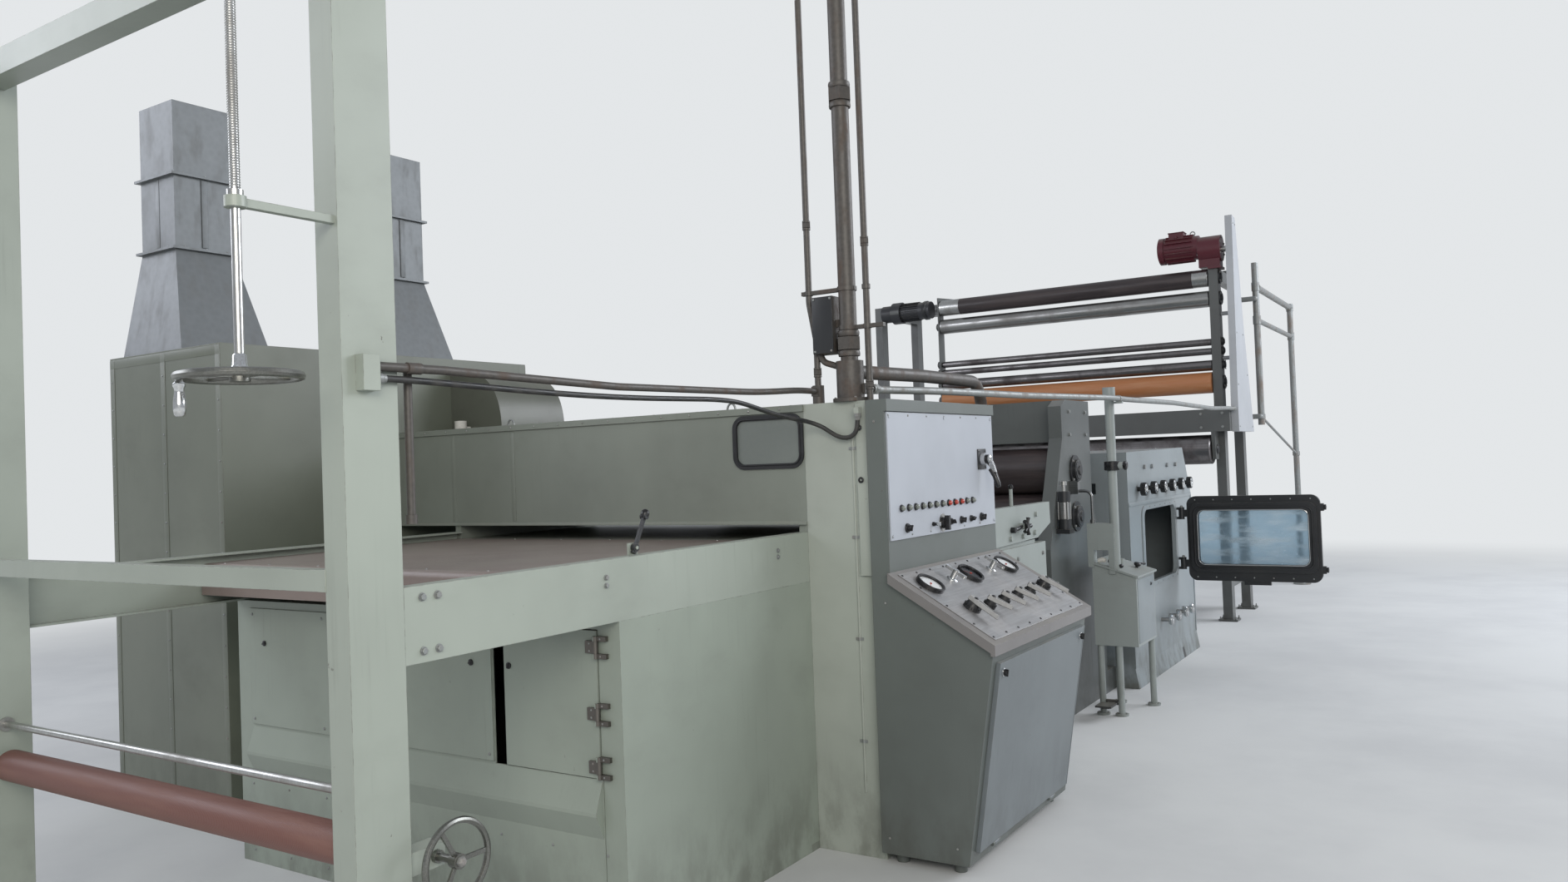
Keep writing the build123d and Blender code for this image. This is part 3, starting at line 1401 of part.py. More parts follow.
motor_z = 3365
gearbox_x = (1205, 1395)
with BuildPart() as gearmotor:
    block((leg_x[0] + 4, gearbox_x[1]), (roller_y - 90, roller_y + 90), (leg_top, leg_top + 20))
    block((gearbox_x[0], gearbox_x[1] - 10), (roller_y - 70, roller_y + 70), (leg_top + 20, motor_z - 60))
    bar((gearbox_x[0], roller_y, motor_z - 30), (gearbox_x[1], roller_y, motor_z - 30), 118)
    bar((gearbox_x[1], roller_y, motor_z - 40), (guard_x[0], roller_y, motor_z - 40), 27)
    bar((885, roller_y, motor_z), (gearbox_x[0], roller_y, motor_z), 108)
    bar((860, roller_y, motor_z), (905, roller_y, motor_z), 122)
    with Locations(Plane(origin=(1040, roller_y, motor_z), x_dir=(0, 1, 0), z_dir=(1, 0, 0))):
        with PolarLocations(112, 16):
            Box(30, 6, 240)
    block((950, 1080), (roller_y - 60, roller_y + 60), (motor_z + 60, motor_z + 150))
write(gearmotor.part, "gearmotor")

# Exit frame of pipe
diagonal = [(exit_x, exit_y[0], 1830), (exit_x, exit_y[1], 1450)]
with BuildPart() as exit_pipe_frame:
    bar((exit_x, exit_y[0], 1750), (exit_x, exit_y[0], exit_z + 230), exit_r)
    bar((exit_x, exit_y[1], 0), (exit_x, exit_y[1], exit_z), exit_r)
    bar((exit_x, exit_y[1], 0), (exit_x, exit_y[1], 14), 3 * exit_r)
    bar((exit_x, exit_y[0], exit_z), (exit_x, exit_y[1], exit_z), exit_r)
    with Locations((exit_x, exit_y[1], exit_z)):
        Sphere(exit_r)
    bar((exit_x, exit_y[0], 2755), (exit_x, exit_y[1], 2755), exit_r * 0.8)
    for z in (1830, exit_z - 120):
        bar((tower_x, exit_y[0] - 60, z), (exit_x, exit_y[0] - 60, z), exit_r * 0.8)
        bar((exit_x, exit_y[0] - 60, z), (exit_x, exit_y[0], z), exit_r * 0.8)
        with Locations((exit_x, exit_y[0] - 60, z)):
            Sphere(exit_r * 0.8)
    with BuildLine() as stay:
        Line(*diagonal)
    with BuildSketch(stay.line ^ 0):
        Circle(12)
    sweep(path=stay.wires()[0])
write(exit_pipe_frame.part, "exit_pipe_frame")
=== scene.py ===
import math

import bmesh
import bpy
from mathutils import Matrix, Vector, noise


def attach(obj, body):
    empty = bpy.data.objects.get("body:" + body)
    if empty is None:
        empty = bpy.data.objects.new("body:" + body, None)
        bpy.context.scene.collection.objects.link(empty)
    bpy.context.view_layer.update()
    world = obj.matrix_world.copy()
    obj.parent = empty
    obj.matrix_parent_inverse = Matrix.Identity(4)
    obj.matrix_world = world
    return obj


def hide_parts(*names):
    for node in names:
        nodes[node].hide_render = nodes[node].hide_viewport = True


# The looks of an open-width bleaching range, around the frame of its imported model.
# Sizes in the dictionaries are millimetres, on the model's own axes: +Y runs with the cloth,
# +X is the operator's side and +Z is up.
mm = 0.001
axisX = Vector((1, 0, 0))
axisY = Vector((0, 1, 0))
axisZ = Vector((0, 0, 1))
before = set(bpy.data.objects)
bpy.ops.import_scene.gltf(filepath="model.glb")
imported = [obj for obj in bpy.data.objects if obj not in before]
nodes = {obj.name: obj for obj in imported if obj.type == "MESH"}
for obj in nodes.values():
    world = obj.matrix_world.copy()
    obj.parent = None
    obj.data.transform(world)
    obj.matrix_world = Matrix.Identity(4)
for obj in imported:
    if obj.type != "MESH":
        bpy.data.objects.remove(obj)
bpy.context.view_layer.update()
print("frame loaded:", len(nodes), "nodes")

# Camera: a phone at eye height in the aisle, looking along the line and held a little askew
aisleCamera = {"place": (3410, -3876, 1550), "heading": 32.49, "rise": 1.16, "roll": -2.16, "lens": 25.73}


def makeCamera():
    data = bpy.data.cameras.new("aisleCamera")
    data.sensor_width = 36
    data.lens = aisleCamera["lens"]
    data.clip_end = 200
    camera = bpy.data.objects.new("aisleCamera", data)
    bpy.context.scene.collection.objects.link(camera)
    heading = Matrix.Rotation(math.radians(aisleCamera["heading"]), 4, "Z")
    rise = Matrix.Rotation(math.radians(90 + aisleCamera["rise"]), 4, "X")
    roll = Matrix.Rotation(math.radians(aisleCamera["roll"]), 4, "Z")
    camera.matrix_world = Matrix.Translation(Vector(aisleCamera["place"]) * mm) @ heading @ rise @ roll
    bpy.context.scene.camera = camera


# Signal cable: hangs from the bracket on the entry column to the gland on the post. Its points are metres.
cable = {
    "diameter": 18,
    "length": 2280,
    "route": [
        (1.054, -2.060, 1.802),
        (1.054, -1.960, 1.802),
        (1.054, -1.760, 1.795),
        (1.053, -1.520, 1.787),
        (1.052, -1.280, 1.782),
        (1.051, -1.040, 1.782),
        (1.051, -0.810, 1.786),
        (1.052, -0.610, 1.790),
        (1.054, -0.470, 1.783),
        (1.059, -0.360, 1.762),
        (1.066, -0.250, 1.741),
        (1.080, -0.150, 1.726),
        (1.106, -0.070, 1.713),
        (1.146, -0.035, 1.692),
        (1.188, -0.027, 1.662),
        (1.230, -0.027, 1.642),
        (1.274, -0.027, 1.644),
        (1.304, -0.027, 1.676),
        (1.304, -0.027, 1.735),
    ],
}


def makeCable():
    route = cable["route"]
    data = bpy.data.curves.new("signalCable", "CURVE")
    data.dimensions = "3D"
    data.bevel_depth = 1
    data.bevel_resolution = 4
    data.resolution_u = 8
    line = data.splines.new("NURBS")
    line.points.add(len(route) - 1)
    for point, place in zip(line.points, route):
        point.co = (*place, 1)
        point.radius = cable["diameter"] * mm / 2  # times the bevel depth of 1
    line.order_u = 3
    line.use_endpoint_u = True
    sheath = bpy.data.objects.new("signalCable", data)
    bpy.context.scene.collection.objects.link(sheath)
    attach(sheath, "root")
    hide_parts("signal_cable")
    return sheath


makeCamera()
signalCable = makeCable()
print("camera and cable ready")


# An sRGB hex colour as linear red, green, blue and alpha
def toLinear(hexCode):
    colour = []
    for shift in (16, 8, 0):
        share = ((hexCode >> shift) & 255) / 255
        colour.append(share / 12.92 if share <= 0.04045 else ((share + 0.055) / 1.055) ** 2.4)
    return [*colour, 1]


# Adds a node with its settings. Its inputs go in order or by name: a number, a colour, a socket or a node.
def addNode(tree, kind, inputs=(), **settings):
    node = tree.nodes.new("ShaderNode" + kind)
    for name, value in settings.items():
        setattr(node, name, value)
    if isinstance(inputs, dict):
        pairs = [(node.inputs[name], value) for name, value in inputs.items()]
    else:
        pairs = zip([socket for socket in node.inputs if socket.enabled], inputs)
    for socket, value in pairs:
        if isinstance(value, bpy.types.Node):
            value = next(output for output in value.outputs if output.enabled)
        if isinstance(value, bpy.types.NodeSocket):
            tree.links.new(value, socket)
        else:
            socket.default_value = value
    return node


# Patterns and masks read each piece's own coordinates, which are the model's at rest, so that they move
# with a door or a roller.


# Soft patches from 0 to 1, of a real size in millimetres along X, Y and Z
def patches(tree, sizes, low, high, detail=4.0):
    place = addNode(tree, "TexCoord").outputs["Object"]
    spread = addNode(tree, "Mapping", {"Vector": place, "Scale": [1 / (size * mm) for size in sizes]})
    cloud = addNode(tree, "TexNoise", {"Vector": spread, "Scale": 1.0, "Detail": detail, "Roughness": 0.62})
    return addNode(tree, "MapRange", [cloud, low, high], interpolation_type="SMOOTHSTEP")


# 1 along corners that hands, cloth trucks and tools rub, broken up by patches
def wornCorners(tree, radius):
    place = addNode(tree, "NewGeometry")
    rounded = addNode(tree, "Bevel", {"Radius": radius * mm}, samples=4)
    turn = addNode(tree, "VectorMath", [rounded, place.outputs["True Normal"]], operation="DOT_PRODUCT")
    corner = addNode(tree, "MapRange", [turn, 0.995, 0.87], interpolation_type="SMOOTHSTEP")
    return addNode(tree, "Math", [corner, patches(tree, (26, 26, 50), 0.44, 0.62, 6)], operation="MULTIPLY")


# Each finish gives its colour, roughness, metal and relief in millimetres.

enamelCoat = {
    "paint": 0x9AA398,
    "grime": 0x55564D,
    "chip": 0x57514A,
    "dust": 0x9C978B,
    "wear": 0.6,
    "dirt": 0.28,
    "dusty": 0.35,
    "lowDarkening": 0.5,
    "gloss": 0.36,
    "corner": 2.5,
}


# Alkyd machine enamel, sprayed on sheet and section steel. The eye gets a satin gloss over fine orange
# peel, sheet that dishes a little, grey smears and faint runs of steam and oil, dust on what faces up,
# patchy darkening towards the floor and dark bare steel at rubbed corners.
def sprayedEnamel(tree, coat):
    coat = enamelCoat | coat
    own = addNode(tree, "TexCoord")
    height = addNode(tree, "SeparateXYZ", [own.outputs["Object"]]).outputs["Z"]
    facing = addNode(tree, "SeparateXYZ", [own.outputs["Normal"]]).outputs["Z"]
    paint = toLinear(coat["paint"])
    faded = [channel * 0.84 for channel in paint[:3]] + [1]
    grime = toLinear(coat["grime"])
    fade = patches(tree, (900, 900, 1300), 0.3, 0.7)
    colour = addNode(tree, "Mix", [fade, paint, faded], data_type="RGBA")
    smears = patches(tree, (420, 420, 260), 0.44, 0.98, 10)
    runs = patches(tree, (18, 18, 520), 0.5, 0.9, 5)
    wet = patches(tree, (560, 560, 760), 0.48, 0.66)
    runs = addNode(tree, "Math", [runs, wet], operation="MULTIPLY")
    dirt = addNode(tree, "Math", [smears, runs], operation="MAXIMUM")
    dirt = addNode(tree, "Math", [dirt, coat["dirt"]], operation="MULTIPLY")
    colour = addNode(tree, "Mix", [dirt, colour, grime], data_type="RGBA")
    low = addNode(tree, "MapRange", [height, 420 * mm, 20 * mm, 0, coat["lowDarkening"]])
    lowPatches = patches(tree, (110, 110, 200), 0.36, 0.66, 8)
    lowDarkening = addNode(tree, "Math", [low, lowPatches], operation="MULTIPLY")
    colour = addNode(tree, "Mix", [lowDarkening, colour, grime], data_type="RGBA")
    upward = addNode(tree, "MapRange", [facing, 0.5, 0.9, 0, coat["dusty"]])
    settled = patches(tree, (220, 220, 220), 0.25, 0.7, 7)
    dust = addNode(tree, "Math", [upward, settled], operation="MULTIPLY")
    colour = addNode(tree, "Mix", [dust, colour, toLinear(coat["dust"])], data_type="RGBA")
    knocked = patches(tree, (520, 520, 520), 0.50, 0.62)
    chips = patches(tree, (24, 24, 30), 0.72, 0.76, 3)
    spots = addNode(tree, "Math", [chips, knocked], operation="MULTIPLY")
    worn = addNode(tree, "Math", [spots, wornCorners(tree, coat["corner"] * 1.4)], operation="MAXIMUM")
    worn = addNode(tree, "Math", [worn, coat["wear"]], operation="MULTIPLY")
    colour = addNode(tree, "Mix", [worn, colour, toLinear(coat["chip"])], data_type="RGBA")
    gloss = coat["gloss"]
    rough = addNode(tree, "MapRange", [dirt, 0, 0.6, gloss, gloss + 0.26])
    rough = addNode(tree, "Math", [worn, 0.2, rough], operation="MULTIPLY_ADD")
    peel = patches(tree, (5, 5, 5), 0, 1, 2)
    dish = patches(tree, (380, 380, 380), 0, 1, 1)
    relief = addNode(tree, "Math", [peel, 0.05, dish], operation="MULTIPLY_ADD")
    relief = addNode(tree, "Math", [worn, -0.15, relief], operation="MULTIPLY_ADD")
    return colour, rough, 0.0, relief


steelStock = {
    "steel": 0xB4B4B2,
    "tarnish": 0x6E6A66,
    "grain": (400, 4, 4),
    "rough": (0.28, 0.5),
    "stain": 0.6,
}


# Turned, drawn or rolled steel and its plated kin. The eye gets fine tool marks in one direction, bright
# bands where cloth or hands keep it clean, and dull tarnish between them.
def turnedSteel(tree, stock):
    stock = steelStock | stock
    marks = patches(tree, stock["grain"], 0.3, 0.7, 3)
    stain = patches(tree, (220, 220, 300), 0.42, 0.70, 7)
    stain = addNode(tree, "Math", [stain, stock["stain"]], operation="MULTIPLY")
    faint = addNode(tree, "Math", [marks, 0.35], operation="MULTIPLY")
    steel = toLinear(stock["steel"])
    tarnish = toLinear(stock["tarnish"])
    colour = addNode(tree, "Mix", [faint, steel, tarnish], data_type="RGBA")
    colour = addNode(tree, "Mix", [stain, colour, tarnish], data_type="RGBA")
    rough = addNode(tree, "MapRange", [stain, 0, 0.8, *stock["rough"]])
    metal = addNode(tree, "MapRange", [stain, 0, 1, 1.0, 0.6])
    relief = addNode(tree, "Math", [marks, 0.02, stain], operation="MULTIPLY_ADD")
    relief = addNode(tree, "Math", [relief, 0.04], operation="MULTIPLY")
    return colour, rough, metal, relief


zincSkin = {"zinc": 0x85898A, "pale": 0x989B9B, "rust": 0x6B4A36, "bloom": 0.4, "spangle": 14, "metal": 0.5}


# Hot-dipped zinc, or old paint over it, on pipe and duct sheet. The eye gets small crystals of two greys,
# a dull sheen, and brown blooms where the zinc has gone.
def dippedZinc(tree, skin):
    skin = zincSkin | skin
    place = addNode(tree, "TexCoord").outputs["Object"]
    spread = addNode(tree, "Mapping", {"Vector": place, "Scale": [1 / (skin["spangle"] * mm)] * 3})
    crystals = addNode(tree, "TexVoronoi", {"Vector": spread, "Scale": 1.0})
    tone = addNode(tree, "MapRange", [crystals, 0.1, 0.9, 0, 0.6])
    colour = addNode(tree, "Mix", [tone, toLinear(skin["zinc"]), toLinear(skin["pale"])], data_type="RGBA")
    bloom = patches(tree, (70, 70, 190), 0.46, 0.70, 8)
    bloom = addNode(tree, "Math", [bloom, skin["bloom"]], operation="MULTIPLY")
    colour = addNode(tree, "Mix", [bloom, colour, toLinear(skin["rust"])], data_type="RGBA")
    rough = addNode(tree, "MapRange", [bloom, 0, 0.6, 0.46, 0.85])
    metal = addNode(tree, "MapRange", [bloom, 0, 0.4, skin["metal"], 0.05])
    scale = addNode(tree, "Math", [patches(tree, (6, 6, 6), 0.2, 0.8, 5), bloom], operation="MULTIPLY")
    relief = addNode(tree, "Math", [scale, 0.6], operation="MULTIPLY")
    return colour, rough, metal, relief


rubberMix = {"rubber": 0x17181A, "chalk": 0x3A3B3E, "groove": 0, "rough": 0.5, "rubbed": 0.5}


# Vulcanised rubber, ground to size on rollers and moulded in gaskets. The eye gets a matt ground with
# chalky bands where it rubs and, on rollers, the grinder's fine rings, drawn coarser than they are.
def groundRubber(tree, mix):
    mix = rubberMix | mix
    place = addNode(tree, "TexCoord").outputs["Object"]
    chalk = patches(tree, (500, 50, 50), 0.38, 0.72, 6)
    share = addNode(tree, "Math", [chalk, mix["rubbed"]], operation="MULTIPLY")
    colour = addNode(tree, "Mix", [share, toLinear(mix["rubber"]), toLinear(mix["chalk"])], data_type="RGBA")
    rough = addNode(tree, "MapRange", [chalk, 0, 1, mix["rough"] - 0.1, mix["rough"] + 0.2])
    relief = patches(tree, (3, 3, 3), 0, 1, 4)
    if mix["groove"]:
        width = addNode(tree, "SeparateXYZ", [place]).outputs["X"]
        turns = addNode(tree, "Math", [width, math.tau / (mix["groove"] * mm)], operation="MULTIPLY")
        rings = addNode(tree, "Math", [turns], operation="SINE")
        relief = addNode(tree, "Math", [rings, 1.2, relief], operation="MULTIPLY_ADD")
    relief = addNode(tree, "Math", [relief, 0.12], operation="MULTIPLY")
    return colour, rough, 0.0, relief


resin = {"resin": 0x141416, "haze": 0x3A3A3C, "rough": 0.26}


# Phenolic resin and its like, moulded under heat. The eye gets a hard gloss from the mould, a haze where
# fingers turn it, and faint flow marks.
def mouldedResin(tree, kind):
    kind = resin | kind
    haze = patches(tree, (20, 20, 20), 0.40, 0.72, 6)
    share = addNode(tree, "Math", [haze, 0.4], operation="MULTIPLY")
    colour = addNode(tree, "Mix", [share, toLinear(kind["resin"]), toLinear(kind["haze"])], data_type="RGBA")
    rough = addNode(tree, "MapRange", [haze, 0, 1, kind["rough"], kind["rough"] + 0.25])
    relief = addNode(tree, "Math", [patches(tree, (7, 7, 7), 0, 1, 3), 0.04], operation="MULTIPLY")
    return colour, rough, 0.0, relief


# Acrylic lamp lenses, moulded with fine ribs. The eye gets a tinted, unlit cap with bright lines along the
# ribs, which are painted highlights.
def ribbedAcrylic(tree, lens):
    place = addNode(tree, "TexCoord").outputs["Object"]
    along = addNode(tree, "SeparateXYZ", [place]).outputs["Y"]
    turns = addNode(tree, "Math", [along, math.tau / (lens["rib"] * mm)], operation="MULTIPLY")
    ribs = addNode(tree, "Math", [turns], operation="SINE")
    share = addNode(tree, "MapRange", [ribs, -1, 1])
    colour = addNode(tree, "Mix", [share, toLinear(lens["tint"]), toLinear(lens["line"])], data_type="RGBA")
    relief = addNode(tree, "Math", [ribs, 0.05], operation="MULTIPLY")
    return colour, 0.14, 0.0, relief


# Toughened float glass. The eye gets a cold tint, wiped streaks and dried drops of liquor.
def toughenedGlass(tree, glass):
    wiped = patches(tree, (300, 300, 60), 0.40, 0.78, 7)
    drops = patches(tree, (13, 13, 17), 0.66, 0.72, 4)
    film = addNode(tree, "Math", [wiped, drops], operation="MAXIMUM")
    film = addNode(tree, "Math", [film, glass["film"]], operation="MULTIPLY")
    colour = addNode(tree, "Mix", [film, toLinear(glass["tint"]), toLinear(0xE4ECEF)], data_type="RGBA")
    rough = addNode(tree, "MapRange", [film, 0, 1, 0.05, 0.5])
    return colour, rough, 0.0, 0.0


# Masks for a node that carries two finishes: 1 inside a box of millimetres, None being no limit
def inBox(low=(None,) * 3, high=(None,) * 3, bothSides=False):
    def mask(tree):
        place = addNode(tree, "TexCoord").outputs["Object"]
        reach = list(addNode(tree, "SeparateXYZ", [place]).outputs)
        if bothSides:
            reach[0] = addNode(tree, "Math", [reach[0]], operation="ABSOLUTE")
        inside = 1.0
        for axis in range(3):
            for limit, test in ((low[axis], "GREATER_THAN"), (high[axis], "LESS_THAN")):
                if limit is not None:
                    within = addNode(tree, "Math", [reach[axis], limit * mm], operation=test)
                    inside = addNode(tree, "Math", [within, inside], operation="MULTIPLY")
        return inside

    return mask


# And 1 beyond a plane, given by its normal and how far it lies along it
def beyond(normal, reach):
    def mask(tree):
        place = addNode(tree, "TexCoord").outputs["Object"]
        along = addNode(tree, "VectorMath", [place, normal], operation="DOT_PRODUCT")
        return addNode(tree, "Math", [along, reach * mm], operation="GREATER_THAN")

    return mask


# The console's two slopes: its slab, and the front that carries the door
console = {
    "near": -40,
    "far": 1040,
    "slabBack": (1425, 1117),
    "slabFront": (1850, 865),
    "doorFoot": (1705, 40),
    "doorHead": (1832, 836.1),
    "sheet": 3,
    "door": (990, 716),
    "doorFace": 16.3,
}


def slopeOf(start, end, side):
    run = Vector((end[0] - start[0], 0, end[1] - start[1]))
    across = Vector((-run.z, 0, run.x)) * side
    return run.length, run.normalized(), across.normalized()


slabDepth, slabDown, slabNormal = slopeOf(console["slabBack"], console["slabFront"], 1)
frontHeight, frontUp, frontNormal = slopeOf(console["doorFoot"], console["doorHead"], -1)
slabOrigin = Vector((console["slabBack"][0], console["near"], console["slabBack"][1]))
frontOrigin = Vector((console["doorFoot"][0], 0, console["doorFoot"][1]))
deckReach = slabNormal.dot(slabOrigin) + console["sheet"]
doorReach = frontNormal.dot(frontOrigin) + console["doorFace"]

# Materials, each a list of finishes from the ground up, with a mask for each after the first
housingPaint = {"paint": 0x9AA398, "wear": 0.5}
framePaint = {"paint": 0x99A09C, "wear": 0.7, "dirt": 0.35}
blackPaint = {"paint": 0x27292C, "grime": 0x3E3B36, "chip": 0x6D6A64, "dirt": 0.4}
# The padder's cheeks, from y 2200 on, are drawn a darker grey than its frame, with more grime
cheekPaint = {"paint": 0x5D6160, "grime": 0x35322D, "dirt": 0.55, "gloss": 0.3}
drivePaint = {"paint": 0x3B3C40, "grime": 0x24221F, "dirt": 0.5}
brightStock = {"steel": 0xC2C3C1, "tarnish": 0x7C7872, "grain": (4, 30, 30)}
chromeStock = {"steel": 0xDADCDD, "tarnish": 0x9B9A97, "rough": (0.1, 0.3), "stain": 0.3}
rollerStock = {"steel": 0x8D8A8A, "tarnish": 0x4C4646, "grain": (350, 6, 6), "stain": 0.85}
sheetStock = {"steel": 0xC8C8C8, "tarnish": 0x8F8B88, "grain": (9, 260, 260), "rough": (0.4, 0.66)}
hingeStock = {"steel": 0x6F6B65, "rough": (0.4, 0.6)}
ductSkin = {
    "zinc": 0x707476,
    "pale": 0x7A7E80,
    "rust": 0x5E564C,
    "bloom": 0.12,
    "metal": 0.25,
    "spangle": 30,
}
pipeSkin = {"zinc": 0x4B4845, "pale": 0x5C5853, "rust": 0x59402F, "bloom": 0.45, "metal": 0.2}
resinPointer = {"resin": 0xA6A6A5, "haze": 0x84827F, "rough": 0.35}
